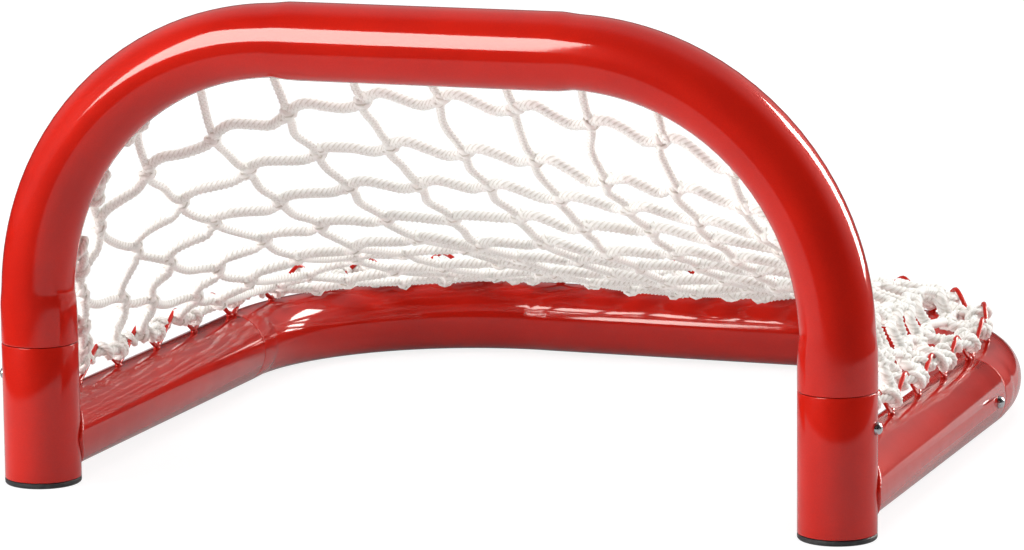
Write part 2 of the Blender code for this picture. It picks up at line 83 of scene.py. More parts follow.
class Side(Enum):
    """Left and right of the mouth, with the sign of X."""

    LEFT = ("left", -1)
    RIGHT = ("right", 1)

    @property
    def word(self) -> str:
        """The side's name in a piece's name."""
        return self.value[0]

    @property
    def sign(self) -> int:
        """The sign of X on this side."""
        return self.value[1]


class Rays(Enum):
    """Light Path outputs of rays that show a surface as the eye sees it."""

    CAMERA = "Is Camera Ray"
    GLOSSY = "Is Glossy Ray"
    TRANSMISSION = "Is Transmission Ray"


# Plan of the goal


def frame_at(place: Sequence[float], *ways: Sequence[float]) -> Matrix:
    """The frame with its origin at a place and the three ways as its X, Y and Z."""
    return Matrix.Translation(place) @ Matrix(ways).transposed().to_4x4()


@dataclass(frozen=True)
class BentPath:
    """Centre line of a tube bent into a U: two legs, two round corners and a bar.

    Attributes:
        half_span: Half the distance between the two legs.
        bar: Distance from the legs' start to the bar.
        radius: Bend radius of the centre line.
        frame: Turns (across, along, lift) into a point of the goal.
    """

    half_span: float
    bar: float
    radius: float
    frame: Matrix

    @property
    def half_bar(self) -> float:
        """Half the length of the straight bar."""
        return self.half_span - self.radius

    @property
    def corner(self) -> float:
        """Length of the centre line round one corner."""
        return self.radius * math.pi / 2

    def leg_distance(self, along: float) -> float:
        """Distance along the path from the bar's middle to a height on the right-hand leg."""
        return self.half_bar + self.corner + self.bar - self.radius - along

    def point(self, distance: float, outward: float = 0.0, lift: float = 0.0) -> Vector:
        """A point of the goal near the path.

        Args:
            distance: Distance from the bar's middle. Left of it is negative.
            outward: How far outward in the U's plane.
            lift: How far off the U's plane.

        Returns:
            The point in the goal's frame.
        """
        run = abs(distance)
        turn = min(max((run - self.half_bar) / self.radius, 0.0), math.pi / 2)
        bend = self.radius + outward
        across = min(run, self.half_bar) + bend * math.sin(turn)
        past = max(run - self.half_bar - self.corner, 0.0)
        along = self.bar - self.radius + bend * math.cos(turn) - past
        return self.frame @ Vector((math.copysign(across, distance), along, lift))

    def nearest(self, point: Vector) -> Vector:
        """The point of the centre line that is nearest to a point.

        Args:
            point: The point to start from.

        Returns:
            The nearest point.
        """
        across, along, _ = self.frame.inverted() @ point
        run = abs(across)
        bend_along = self.bar - self.radius
        if along <= bend_along:
            run = self.half_span
            along = max(along, 0.0)
        elif run <= self.half_bar:
            along = self.bar
        else:
            way = Vector((run - self.half_bar, along - bend_along)).normalized() * self.radius
            run = self.half_bar + way.x
            along = bend_along + way.y
        return self.frame @ Vector((math.copysign(run, across), along, 0.0))


@dataclass(frozen=True)
class Stock:
    """The steel tube that the frame is bent from."""

    outside: float = 38.1 * MM
    wall: float = 1.6 * MM
    slip_clearance: float = 0.35 * MM
    gap: float = 0.3 * MM
    edge_round: float = 0.35 * MM
    sides: int = 72

    @property
    def radius(self) -> float:
        """Outside radius."""
        return self.outside / 2

    @property
    def bore(self) -> float:
        """Inside radius."""
        return self.radius - self.wall

    @property
    def slip_radius(self) -> float:
        """Outside radius of a swaged end that slips into a bore."""
        return self.bore - self.slip_clearance

    @property
    def slip_bore(self) -> float:
        """Inside radius of a swaged end."""
        return self.slip_radius - self.wall


@dataclass(frozen=True)
class Plan:
    """Main sizes of the goal, and the places that follow from them."""

    stock: Stock = Stock()
    post_spacing: float = 410.7 * MM
    crossbar_height: float = 226.3 * MM
    arch_bend_radius: float = 131.7 * MM
    base_depth: float = 389.5 * MM
    rear_bend_radius: float = 126.8 * MM
    stub_seam: float = 71.0 * MM
    side_seam: float = 245.0 * MM
    foot_thickness: float = 3.0 * MM

    @property
    def post_y(self) -> float:
        """Y of the plane of the mouth."""
        return -self.base_depth / 2

    @property
    def base_place(self) -> Matrix:
        """The base loop's own frame: level with the feet in front, on the floor behind.

        Returns:
            The frame, with +Y running back along the base.
        """
        axis_height = self.foot_thickness + self.stock.radius
        slope = math.asin(self.foot_thickness / self.base_depth)
        move = Matrix.Translation((0, self.post_y, axis_height))
        return move @ Matrix.Rotation(-slope, 4, "X")

    @property
    def arch(self) -> BentPath:
        """Centre line of the arch: crossbar and posts.

        Returns:
            The path, with its legs on the floor.
        """
        upright = frame_at((0, self.post_y, 0), (1, 0, 0), (0, 0, 1), (0, 1, 0))
        half = self.post_spacing / 2
        return BentPath(half, self.crossbar_height, self.arch_bend_radius, upright)

    @property
    def base(self) -> BentPath:
        """Centre line of the base loop: side tubes and rear tube."""
        half = self.post_spacing / 2
        return BentPath(half, self.base_depth, self.rear_bend_radius, self.base_place)

    def post_x(self, side: Side) -> float:
        """X of a post's axis."""
        return side.sign * self.post_spacing / 2

    def post_place(self, side: Side) -> Matrix:
        """Where a post's axis meets the floor."""
        return Matrix.Translation((self.post_x(side), self.post_y, 0))

    def side_place(self, side: Side) -> Matrix:
        """A side tube's own frame, whose +Z runs back along the tube."""
        move = Matrix.Translation((self.post_x(side), 0, 0))
        return self.base_place @ move @ Matrix.Rotation(-math.pi / 2, 4, "X")


# Finishes


class NodeSheet:
    """A material's or a world's nodes, added one by one."""

    def __init__(self, tree: bpy.types.NodeTree) -> None:
        """Start from an empty sheet.

        Args:
            tree: The node tree to fill.
        """
        self.tree = tree
        tree.nodes.clear()

    def feed(self, socket: Socket, value: object) -> None:
        """Link an input to an output, or set it.

        Args:
            socket: The input.
            value: An output, a number, a vector or a colour.
        """
        if isinstance(value, Socket):
            self.tree.links.new(value, socket)
        elif socket.type == "RGBA":
            socket.default_value = (*value, 1.0)
        else:
            socket.default_value = value

    def fill(self, node: Node, **values: object) -> None:
        """Set a node's properties and inputs.

        Args:
            node: The node.
            **values: A property or an input name, with spaces written as underscores.
        """
        for key, value in values.items():
            if hasattr(node, key):
                setattr(node, key, value)
            else:
                self.feed(node.inputs[key.replace("_", " ")], value)

    def add(self, kind: str, **values: object) -> Node:
        """A new shader node, given by its type and what it is filled with.

        Args:
            kind: The node's type, without the prefix that all have.
            **values: As for fill.

        Returns:
            The node.
        """
        node = self.tree.nodes.new("ShaderNode" + kind)
        self.fill(node, **values)
        return node

    def spot(self) -> Socket:
        """The object coordinates."""
        return self.add("TexCoord").outputs["Object"]

    def rays(self) -> dict[Rays, Socket]:
        """The Light Path outputs that tell how a ray sees a surface."""
        path = self.add("LightPath")
        return {ray: path.outputs[ray.value] for ray in Rays}

    def math(self, operation: str, *terms: Socket | float) -> Socket:
        """The result of a Math node on its terms in order.

        Args:
            operation: What the node does.
            *terms: Outputs or numbers.

        Returns:
            The result.
        """
        node = self.add("Math", operation=operation)
        for socket, term in zip(node.inputs, terms):
            self.feed(socket, term)
        return node.outputs[0]

    def noise(self, source: Socket, scale: float, detail: float = 2.0) -> Socket:
        """Noise of a given scale on a coordinate, as a value round one half."""
        return self.add("TexNoise", Vector=source, Scale=scale, Detail=detail).outputs["Fac"]

    def ramp(
        self, value: Socket, low: float, high: float, start: float = 0.0, end: float = 1.0
    ) -> Socket:
        """A value mapped smoothly from low..high to start..end.

        Args:
            value: The output to map.
            low: Where the ramp starts.
            high: Where it ends.
            start: What it gives below its start.
            end: What it gives past its end.

        Returns:
            The mapped value.
        """
        node = self.add("MapRange", interpolation_type="SMOOTHSTEP", Value=value)
        self.fill(node, From_Min=low, From_Max=high, To_Min=start, To_Max=end)
        return node.outputs["Result"]

    def mix(self, kind: str, share: Socket, first: object, second: object) -> Socket:
        """Mix two values or two colours.

        Args:
            kind: FLOAT for values, RGBA for colours.
            share: How much of the second there is.
            first: What a share of nought gives.
            second: What a share of one gives.

        Returns:
            The mixture.
        """
        node = self.add("Mix", data_type=kind, Factor=share)
        wanted = {"FLOAT": "VALUE"}.get(kind, kind)
        for name, value in (("A", first), ("B", second)):
            self.feed(next(s for s in node.inputs if s.name == name and s.type == wanted), value)
        return next(s for s in node.outputs if s.type == wanted)

    def bump(self, height: Socket, strength: float, distance: float) -> Socket:
        """A bumped normal from a height."""
        node = self.add("Bump", Height=height, Strength=strength, Distance=distance)
        return node.outputs["Normal"]


def new_sheet(name: str) -> tuple[bpy.types.Material, NodeSheet]:
    """A new material with an empty sheet.

    Args:
        name: The material's name.

    Returns:
        The material and its sheet.
    """
    material = bpy.data.materials.new(name)
    material.use_nodes = True
    return material, NodeSheet(material.node_tree)


@dataclass(frozen=True)
class Finish:
    """A material with one Principled shader.

    Attributes:
        name: The material's name.
        colour: Its main colour.
        worn: The colour that its other tones tend to.
        roughness: Its mean roughness.
    """

    name: str
    colour: Colour
    worn: Colour
    roughness: float

    def inputs(self, sheet: NodeSheet, spot: Socket) -> dict[str, object]:
        """What the shader's inputs are given, by name."""
        raise NotImplementedError

    def make(self) -> bpy.types.Material:
        """The finish's material.

        Returns:
            The material.
        """
        material, sheet = new_sheet(self.name)
        shader = sheet.add("BsdfPrincipled", **self.inputs(sheet, sheet.spot()))
        sheet.add("OutputMaterial", Surface=shader.outputs["BSDF"])
        return material


@dataclass(frozen=True)
class PowderCoat(Finish):
    """Glossy red powder coat over steel: fine flake, a clear top and slight orange peel."""

    name: str = "red_powder_coat"
    colour: Colour = (0.52, 0.011, 0.004)
    worn: Colour = (0.44, 0.009, 0.004)
    roughness: float = 0.40
    metallic: float = 0.06
    base_shine: float = 0.02
    coat_roughness: float = 0.075
    coat_index: float = 1.49
    flake_scale: float = 2600.0
    flake_share: float = 0.3
    flake_ends: tuple[float, float] = (0.35, 0.95)
    cloud_scale: float = 24.0
    cloud_detail: float = 3.0
    rough_scale: float = 60.0
    rough_ends: tuple[float, float] = (0.3, 0.7)
    rough_shares: tuple[float, float] = (0.9, 1.1)
    peel_scale: float = 420.0
    peel_height: float = 0.006 * MM

    def inputs(self, sheet: NodeSheet, spot: Socket) -> dict[str, object]:
        """Flake and clouds in the base, and the same peel under base and coat.

        Args:
            sheet: The sheet that takes the nodes.
            spot: The object coordinates.

        Returns:
            What each input is given, by name.
        """
        cells = sheet.add("TexVoronoi", Scale=self.flake_scale, Vector=spot)
        flake = sheet.add("SeparateColor", Color=cells.outputs["Color"]).outputs["Red"]
        cloud = sheet.noise(spot, self.cloud_scale, self.cloud_detail)
        cloud = sheet.math("MULTIPLY_ADD", flake, self.flake_share, cloud)
        share = sheet.ramp(cloud, *self.flake_ends)
        rough = sheet.noise(spot, self.rough_scale)
        rough = sheet.ramp(rough, *self.rough_ends, *self.rough_shares)
        normal = sheet.bump(sheet.noise(spot, self.peel_scale, 1.0), 1.0, self.peel_height)
        return {
            "Base_Color": sheet.mix("RGBA", share, self.worn, self.colour),
            "Roughness": sheet.math("MULTIPLY", rough, self.roughness),
            "Metallic": self.metallic,
            "Specular_IOR_Level": self.base_shine,
            "Coat_Weight": 1.0,
            "Coat_Roughness": self.coat_roughness,
            "Coat_IOR": self.coat_index,
            "Normal": normal,
            "Coat_Normal": normal,
        }


@dataclass(frozen=True)
class MouldedPlastic(Finish):
    """Black moulded plastic with scuffs and a fine grain."""

    name: str = "black_moulded_plastic"
    colour: Colour = (0.018, 0.018, 0.020)
    worn: Colour = (0.045, 0.044, 0.044)
    roughness: float = 0.45
    scuff_scale: float = 260.0
    scuff_detail: float = 4.0
    scuff_ends: tuple[float, float] = (0.45, 0.75)
    scuff_roughness: float = 0.2
    grain_scale: float = 1800.0
    grain_height: float = 0.03 * MM
    grain_strength: float = 0.6

    def inputs(self, sheet: NodeSheet, spot: Socket) -> dict[str, object]:
        """Paler and rougher where it is scuffed, with a grain all over.

        Args:
            sheet: The sheet that takes the nodes.
            spot: The object coordinates.

        Returns:
            What each input is given, by name.
        """
        scuff = sheet.noise(spot, self.scuff_scale, self.scuff_detail)
        scuff = sheet.ramp(scuff, *self.scuff_ends)
        grain = sheet.noise(spot, self.grain_scale)
        return {
            "Base_Color": sheet.mix("RGBA", scuff, self.colour, self.worn),
            "Roughness": sheet.math("MULTIPLY_ADD", scuff, self.scuff_roughness, self.roughness),
            "Normal": sheet.bump(grain, self.grain_strength, self.grain_height),
        }


@dataclass(frozen=True)
class BareMetal(Finish):
    """Plated or bare steel with fine rub marks."""

    rub_scale: float = 900.0
    rub_detail: float = 4.0
    rub_ends: tuple[float, float] = (0.4, 0.75)
    rub_roughness: float = 0.12
    rub_height: float = 0.01 * MM
    rub_strength: float = 0.3

    def inputs(self, sheet: NodeSheet, spot: Socket) -> dict[str, object]:
        """Duller and rougher where it is rubbed.

        Args:
            sheet: The sheet that takes the nodes.
            spot: The object coordinates.

        Returns:
            What each input is given, by name.
        """
        rub = sheet.noise(spot, self.rub_scale, self.rub_detail)
        rub = sheet.ramp(rub, *self.rub_ends)
        return {
            "Base_Color": sheet.mix("RGBA", rub, self.colour, self.worn),
            "Roughness": sheet.math("MULTIPLY_ADD", rub, self.rub_roughness, self.roughness),
            "Metallic": 1.0,
            "Normal": sheet.bump(rub, self.rub_strength, self.rub_height),
        }


@dataclass(frozen=True)
class BraidedCord(Finish):
    """White braided cord: pale crests, painted shade in the valleys, fine yarn and a little
    soil.
    """

    name: str = "white_braided_cord"
    colour: Colour = (0.98, 0.965, 0.925)
    worn: Colour = (0.84, 0.79, 0.71)
    # Painted shade: the darker colour that the braid's valleys take.
    valley_shade: Colour = (0.52, 0.47, 0.395)
    roughness: float = 0.8
    fibre_scale: float = 3200.0
    fibre_share: float = 0.35
    fibre_height: float = 0.12 * MM
    fibre_strength: float = 0.8
    # Braid heights over which the painted valley shade gives way to the pale crest colour.
    valley_shade_ends: tuple[float, float] = (0.10, 0.70)
    soil_scale: float = 38.0
    soil_detail: float = 3.0
    soil_ends: tuple[float, float] = (0.55, 0.8)
    soil_shares: tuple[float, float] = (0.0, 0.35)
    sheen: float = 0.25
    sheen_roughness: float = 0.6
    shine: float = 0.3

    def inputs(self, sheet: NodeSheet, spot: Socket) -> dict[str, object]:
        """Painted shade in the braid's valleys, set by the braid's height, with soiled patches.

        Args:
            sheet: The sheet that takes the nodes.
            spot: The object coordinates.

        Returns:
            What each input is given, by name.
        """
        braid = sheet.add("Attribute", attribute_name="braid").outputs["Fac"]
        fibre = sheet.noise(spot, self.fibre_scale)
        height = sheet.math("MULTIPLY_ADD", fibre, self.fibre_share, braid)
        # Painted shade: the low parts of the braid take the darker valley colour.
        tone = sheet.mix("RGBA", sheet.ramp(height, *self.valley_shade_ends), self.valley_shade, self.colour)
        patch = sheet.noise(spot, self.soil_scale, self.soil_detail)
        patch = sheet.ramp(patch, *self.soil_ends, *self.soil_shares)
        return {
            "Base_Color": sheet.mix("RGBA", patch, tone, self.worn),
            "Roughness": self.roughness,
            "Sheen_Weight": self.sheen,
            "Sheen_Roughness": self.sheen_roughness,
            "Specular_IOR_Level": self.shine,
            "Normal": sheet.bump(fibre, self.fibre_strength, self.fibre_height),
        }


FINISHES = {
    Slot.RED_FRAME: PowderCoat(),
    Slot.BLACK_CAP: MouldedPlastic(),
    Slot.CHROME_BUTTON: BareMetal(
        name="bright_chrome",
        colour=(0.62, 0.63, 0.65),
        worn=(0.42, 0.43, 0.45),
        roughness=0.18,
    ),
    Slot.LEAF_SPRING: BareMetal(
        name="blued_spring_steel",
        colour=(0.30, 0.31, 0.35),
        worn=(0.16, 0.16, 0.19),
        roughness=0.32,
    ),
    Slot.NET_CORD: BraidedCord(),
}


# Mesh tools


@dataclass(frozen=True)
class Station:
    """One ring of a swept skin.

    Attributes:
        matrix: Place and turn, with +X outward and +Z along the sweep.
        reach: Half width along X.
        rise: Half width along Y.
        shift: How far the ring's middle is moved along X.
    """

    matrix: Matrix
    reach: float
    rise: float
    shift: float = 0.0

    def ring(self) -> Matrix:
        """What turns a unit circle into this ring."""
        size = Matrix.Diagonal((self.reach, self.rise, 1.0, 1.0))
        return self.matrix @ Matrix.Translation((self.shift, 0, 0)) @ size


def put(name: str, data: bpy.types.ID) -> bpy.types.Object:
    """A new object in the scene, at the origin.

    Args:
        name: The object's name.
        data: Its mesh, curve, lamp or camera.

    Returns:
        The object.
    """
    item = bpy.data.objects.new(name, data)
    bpy.context.scene.collection.objects.link(item)
    return item


def mesh_of(shape: Shape, name: str) -> bpy.types.Mesh:
    """A mesh made from a shape, which is freed.

    Args:
        shape: The shape.
        name: The mesh's name.

    Returns:
        The mesh.
    """
    mesh = bpy.data.meshes.new(name)
    shape.to_mesh(mesh)
    shape.free()
    return mesh


def quarter_turn(steps: int) -> Profile:
    """The sine and cosine of even steps over a quarter turn."""
    turns = [math.pi / 2 * step / steps for step in range(steps + 1)]
    return [(math.sin(turn), math.cos(turn)) for turn in turns]


def new_parts(result: dict, kind: type) -> list:
    """The vertices, edges or faces in what a bmesh operator returned."""
    return [item for item in result["geom"] if isinstance(item, kind)]


def sweep(shape: Shape, stations: Sequence[Station], sides: int) -> None:
    """Draw a ring out through stations, by extruding its edges and moving the new ring.

    Args:
        shape: The mesh that the skin is added to.
        stations: The rings in order.
        sides: Number of sides of the ring.
    """
    made = bmesh.ops.create_circle(
        shape, cap_ends=False, segments=sides, radius=1.0, matrix=stations[0].ring()
    )
    edges = list({edge for vert in made["verts"] for edge in vert.link_edges})
    for before, after in zip(stations, stations[1:]):
        drawn = bmesh.ops.extrude_edge_only(shape, edges=edges)
        verts = new_parts(drawn, bmesh.types.BMVert)
        moved = set(verts)
        edges = [
            edge
            for edge in new_parts(drawn, bmesh.types.BMEdge)
            if edge.verts[0] in moved and edge.verts[1] in moved
        ]
        step = after.ring() @ before.ring().inverted()
        bmesh.ops.transform(shape, matrix=step, verts=verts)


def turn_profile(
    shape: Shape,
    profile: Profile,
    closed: bool,
    steps: int,
    matrix: Matrix,
) -> None:
    """Spin a profile of (radius, height) round the Z axis.

    Args:
        shape: The mesh that the turned skin is added to.
        profile: The points of the profile.
        closed: Whether the last point joins the first.
        steps: Number of steps in the full turn.
        matrix: Where the turned piece stands.
    """
    verts = [shape.verts.new((radius, 0.0, height)) for radius, height in profile]
    pairs = list(zip(verts, verts[1:]))
    if closed:
        pairs.append((verts[-1], verts[0]))
    edges = [shape.edges.new(pair) for pair in pairs]
    bmesh.ops.spin(
        shape,
        geom=verts + edges,
        cent=(0, 0, 0),
        axis=(0, 0, 1),
        angle=math.tau,
        steps=steps,
        use_merge=True,
    )
    bmesh.ops.remove_doubles(shape, verts=shape.verts[:], dist=MERGE)
    bmesh.ops.transform(shape, matrix=matrix, verts=shape.verts[:])
    bmesh.ops.recalc_face_normals(shape, faces=shape.faces[:])


def rounded_wall(outer: float, inner: float, low: float, high: float, edge: float) -> Profile:
    """The section of a round tube's wall, with its four edges eased.

    Args:
        outer: Outside radius.
        inner: Inside radius.
        low: Lower end.
        high: Upper end.
        edge: Size of the eased edges.

    Returns:
        The closed profile as (radius, height).
    """
    profile = []
    for radius, height, way_in, way_up in (
        (outer, low, -1, 1),
        (outer, high, -1, -1),
        (inner, high, 1, -1),
        (inner, low, 1, 1),
    ):
        points = [
            (radius + way_in * edge * (1 - sine), height + way_up * edge * (1 - cosine))
            for sine, cosine in quarter_turn(3)
        ]
        profile += points if way_in * way_up < 0 else reversed(points)
    return profile


def smooth_line(points: Sequence[Vector], step: float, closed: bool = False) -> list[Vector]:
    """A smooth line through points, with its own points evenly apart.

    Args:
        points: The points to pass through.
        step: The distance between points of the result.
        closed: Whether the line is a loop.

    Returns:
        The points of the smooth line.
    """
    count = len(points)
    dense = []
    for span in range(count if closed else count - 1):
        spots = [span + offset for offset in (-1, 0, 1, 2)]
        spots = [spot % count if closed else min(max(spot, 0), count - 1) for spot in spots]
        before, start, end, after = (points[spot] for spot in spots)
        length = (end - start).length
        lead = (end - before) * (length / max(length + (start - before).length, TINY))
        tail = (after - start) * (length / max((after - end).length + length, TINY))
        parts = max(2, math.ceil(2 * length / step))
        for part in range(parts):
            t = part / parts
            a = (1 + 2 * t) * (1 - t) ** 2
            b = t * (1 - t) ** 2
            c = t * t * (3 - 2 * t)
            d = t * t * (t - 1)
            dense.append(a * start + b * lead + c * end + d * tail)
    dense.append(points[0].copy() if closed else points[-1].copy())
    return even_line(dense, step, closed)


def even_line(points: Sequence[Vector], step: float, closed: bool = False) -> list[Vector]:
    """The same line with points evenly apart, and for a loop an even number of them.

    Args:
        points: The line's points.
        step: The distance between points of the result.
        closed: Whether the line is a loop, whose last point is its first.

    Returns:
        The points of the even line.
    """
    run = [0.0]
    for first, second in zip(points, points[1:]):
        run.append(run[-1] + (second - first).length)
    count = max(2, round(run[-1] / step))
    if closed:
        count += count % 2
    line = []
    spot = 0
    for index in range(count if closed else count + 1):
        goal = run[-1] * index / count
        while spot < len(run) - 2 and run[spot + 1] < goal:
            spot += 1
        span = max(run[spot + 1] - run[spot], TINY)
        line.append(points[spot].lerp(points[spot + 1], (goal - run[spot]) / span))
    return line


class Workshop:
    """Turns shapes into finished pieces that ride on the frame's bodies."""

    def __init__(self) -> None:
        """Make each slot's finish, which its pieces share."""
        self.finishes = {slot: finish.make() for slot, finish in FINISHES.items()}

    def add(
        self,
        name: str,
        node: str,
        shape: Shape,
        slot: Slot = Slot.RED_FRAME,
        body: str = FRAME_BODY,
        cutters: Sequence[Shape] = (),
        sharp: float = 38.0,
    ) -> bpy.types.Object:
        """Make a finished piece from a shape.

        Args:
            name: The piece's name.
            node: The solid that it replaces.
            shape: Its mesh, in place. It is freed.
            slot: The slot, which gives the finish.
            body: The body that it rides on.
            cutters: Closed shapes that are cut away from it. They are freed.
            sharp: Edges bent by more degrees than this stay sharp.

        Returns:
            The piece.
        """
        item = put(name, mesh_of(shape, name))
        if cutters:
            self.carve(item, cutters)
        item.data.materials.append(self.finishes[slot])
        item.data.shade_smooth()
        item.data.set_sharp_from_angle(angle=math.radians(sharp))
        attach(item, body)
        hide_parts(node)
        LOG.info("%s: %d faces on %s", name, len(item.data.polygons), body)
        return item

    def carve(self, item: bpy.types.Object, cutters: Sequence[Shape]) -> None:
        """Cut shapes away from a piece, and keep the result as its mesh.

        Args:
            item: The piece.
            cutters: Closed shapes, which are freed.
        """
        tools = [put("cutter", mesh_of(cutter, "cutter")) for cutter in cutters]
        for tool in tools:
            boolean = item.modifiers.new("cut", "BOOLEAN")
            boolean.operation = "DIFFERENCE"
            boolean.solver = "EXACT"
            boolean.object = tool
        graph = bpy.context.evaluated_depsgraph_get()
        whole = item.data
        item.data = bpy.data.meshes.new_from_object(item.evaluated_get(graph))
        item.data.name = item.name
        item.modifiers.clear()
        bpy.data.meshes.remove(whole)
        for tool in tools:
            mesh = tool.data
            bpy.data.objects.remove(tool, do_unlink=True)
            bpy.data.meshes.remove(mesh)


def drill(radius: float, depth: float, matrix: Matrix, sides: int = 32) -> Shape:
    """A closed cylinder to cut a hole with.

    Args:
        radius: The hole's radius.
        depth: The cylinder's length.
        matrix: Its middle, with +Z along the hole.
        sides: Number of sides.

    Returns:
        The cylinder.
    """
    shape = bmesh.new()
    size = {"radius1": radius, "radius2": radius, "depth": depth}
    bmesh.ops.create_cone(shape, cap_ends=True, segments=sides, matrix=matrix, **size)
    return shape


# Tube frame


@dataclass
class BentTube:
    """A tube bent into a U, flattened a little in its bends, with two swaged ends."""

    stock: Stock
    path: BentPath
    seam: float
    slip_length: float = 38.0 * MM
    shoulder: float = 0.45 * MM
    shoulder_curve: tuple[tuple[float, float], ...] = (
        (0.05, 0.72),
        (0.2, 0.42),
        (0.5, 0.14),
        (1.0, 0.0),
    )
    flattening: float = 0.05
    ease: float = 11.0 * MM
    pinch: float = 0.22 * MM
    pinch_place: float = 0.2
    pinch_narrowness: float = 3.0
    corner_ease: float = 0.75
    neck: float = 0.2 * MM
    tip_curve: tuple[tuple[float, float], ...] = (
        (0.0, 0.5 * MM),
        (0.3 * MM, 0.2 * MM),
        (1.2 * MM, 0.0),
    )
    corner_steps: int = 40
    ease_shares: tuple[float, ...] = (0.2, 0.4, 0.8, 1.2)

    @property
    def corner(self) -> tuple[float, float]:
        """Where a corner starts and ends, from the bar's middle."""
        return self.path.half_bar, self.path.half_bar + self.path.corner

    def matrix(self, distance: float) -> Matrix:
        """The path's own frame, with +X outward and +Z along the path.

        Args:
            distance: Where on the path.

        Returns:
            The frame.
        """
        centre = self.path.point(distance)
        outward = (self.path.point(distance, 1.0) - centre).normalized()
        lift = (self.path.point(distance, 0.0, 1.0) - centre).normalized()
        return frame_at(centre, outward, lift, outward.cross(lift))

    def flat_share(self, distance: float) -> float:
        """How much of the bend's flattening a place on the path has, from 0 to 1.

        Args:
            distance: Where on the path.

        Returns:
            The share.
        """
        start, end = self.corner
        inside = min(abs(distance) - start, end - abs(distance))
        share = min(max(inside / self.ease + 0.5, 0.0), 1.0)
        return share * share * (3 - 2 * share)

    def pinch_share(self, distance: float) -> float:
        """How much of the small shoulder at a bend's start a place has."""
        near = min(abs(abs(distance) - mark) for mark in self.corner) / self.ease
        return math.exp(-((near - self.pinch_place) ** 2) * self.pinch_narrowness)

    def skin(self, distance: float, radius: float, bent: bool = True) -> Station:
        """A ring of the skin.

        Args:
            distance: Where on the path.
            radius: The round radius.
            bent: Whether the ring takes part in the bends' flattening.

        Returns:
            The ring.
        """
        flat = self.stock.radius * self.flattening * self.flat_share(distance) if bent else 0.0
        pinch = self.pinch * self.pinch_share(distance) if bent else 0.0
        return Station(self.matrix(distance), radius - flat - pinch / 2, radius, pinch / 2)

    def skins(self, marks: Profile) -> list[Station]:
        """Rings of the straight ends, each given as (distance, radius)."""
        return [self.skin(distance, radius, False) for distance, radius in marks]

    def run_of(self) -> list[float]:
        """Distances of the rings between the two shoulders.

        Returns:
            The distances, from the right-hand leg to the left-hand one.
        """
        start, end = self.corner
        half = [self.path.leg_distance(self.seam) - 2.5 * self.shoulder]
        marks = [end + self.ease * share for share in reversed(self.ease_shares)]
        half += [mark for mark in marks if mark < half[0]]
        for step in range(self.corner_steps + 1):
            share = step / self.corner_steps
            eased = share - self.corner_ease * math.sin(math.tau * share) / math.tau
            half.append(end - eased * self.path.corner)
        half += [start - self.ease * share for share in self.ease_shares]
        return half + [-distance for distance in reversed(half)]

    def stations(self) -> list[Station]:
        """Every ring: along the outside, round the rim and back along the bore.

        Returns:
            The rings in order, ending with the first one.
        """
        stock = self.stock
        seam = self.path.leg_distance(self.seam) - stock.gap
        tip = self.path.leg_distance(self.seam) + self.slip_length
        swage = [(tip - back, stock.slip_radius - drop) for back, drop in self.tip_curve]
        swage.append((seam - self.neck, stock.slip_radius))
        for back, drop in self.shoulder_curve:
            swage.append((seam - back * self.shoulder, stock.radius - drop * self.shoulder))
        mouth = -seam + 3 * self.shoulder
        bore = [(-tip, stock.slip_bore), (-seam, stock.slip_bore), (mouth, stock.bore)]
        rings = []
        for ends, radius in ((swage, stock.radius), (bore, stock.bore)):
            sign = -1 if ends is bore else 1
            rings += self.skins(ends)
            rings += [self.skin(sign * distance, radius) for distance in self.run_of()]
            rings += self.skins([(-distance, size) for distance, size in reversed(ends)])
        return rings + rings[:1]

    def shape(self) -> Shape:
        """The tube's closed wall.

        Returns:
            The wall, without its holes.
        """
        shape = bmesh.new()
        sweep(shape, self.stations(), self.stock.sides)
        bmesh.ops.remove_doubles(shape, verts=shape.verts[:], dist=2 * MERGE)
        bmesh.ops.recalc_face_normals(shape, faces=shape.faces[:])
        return shape


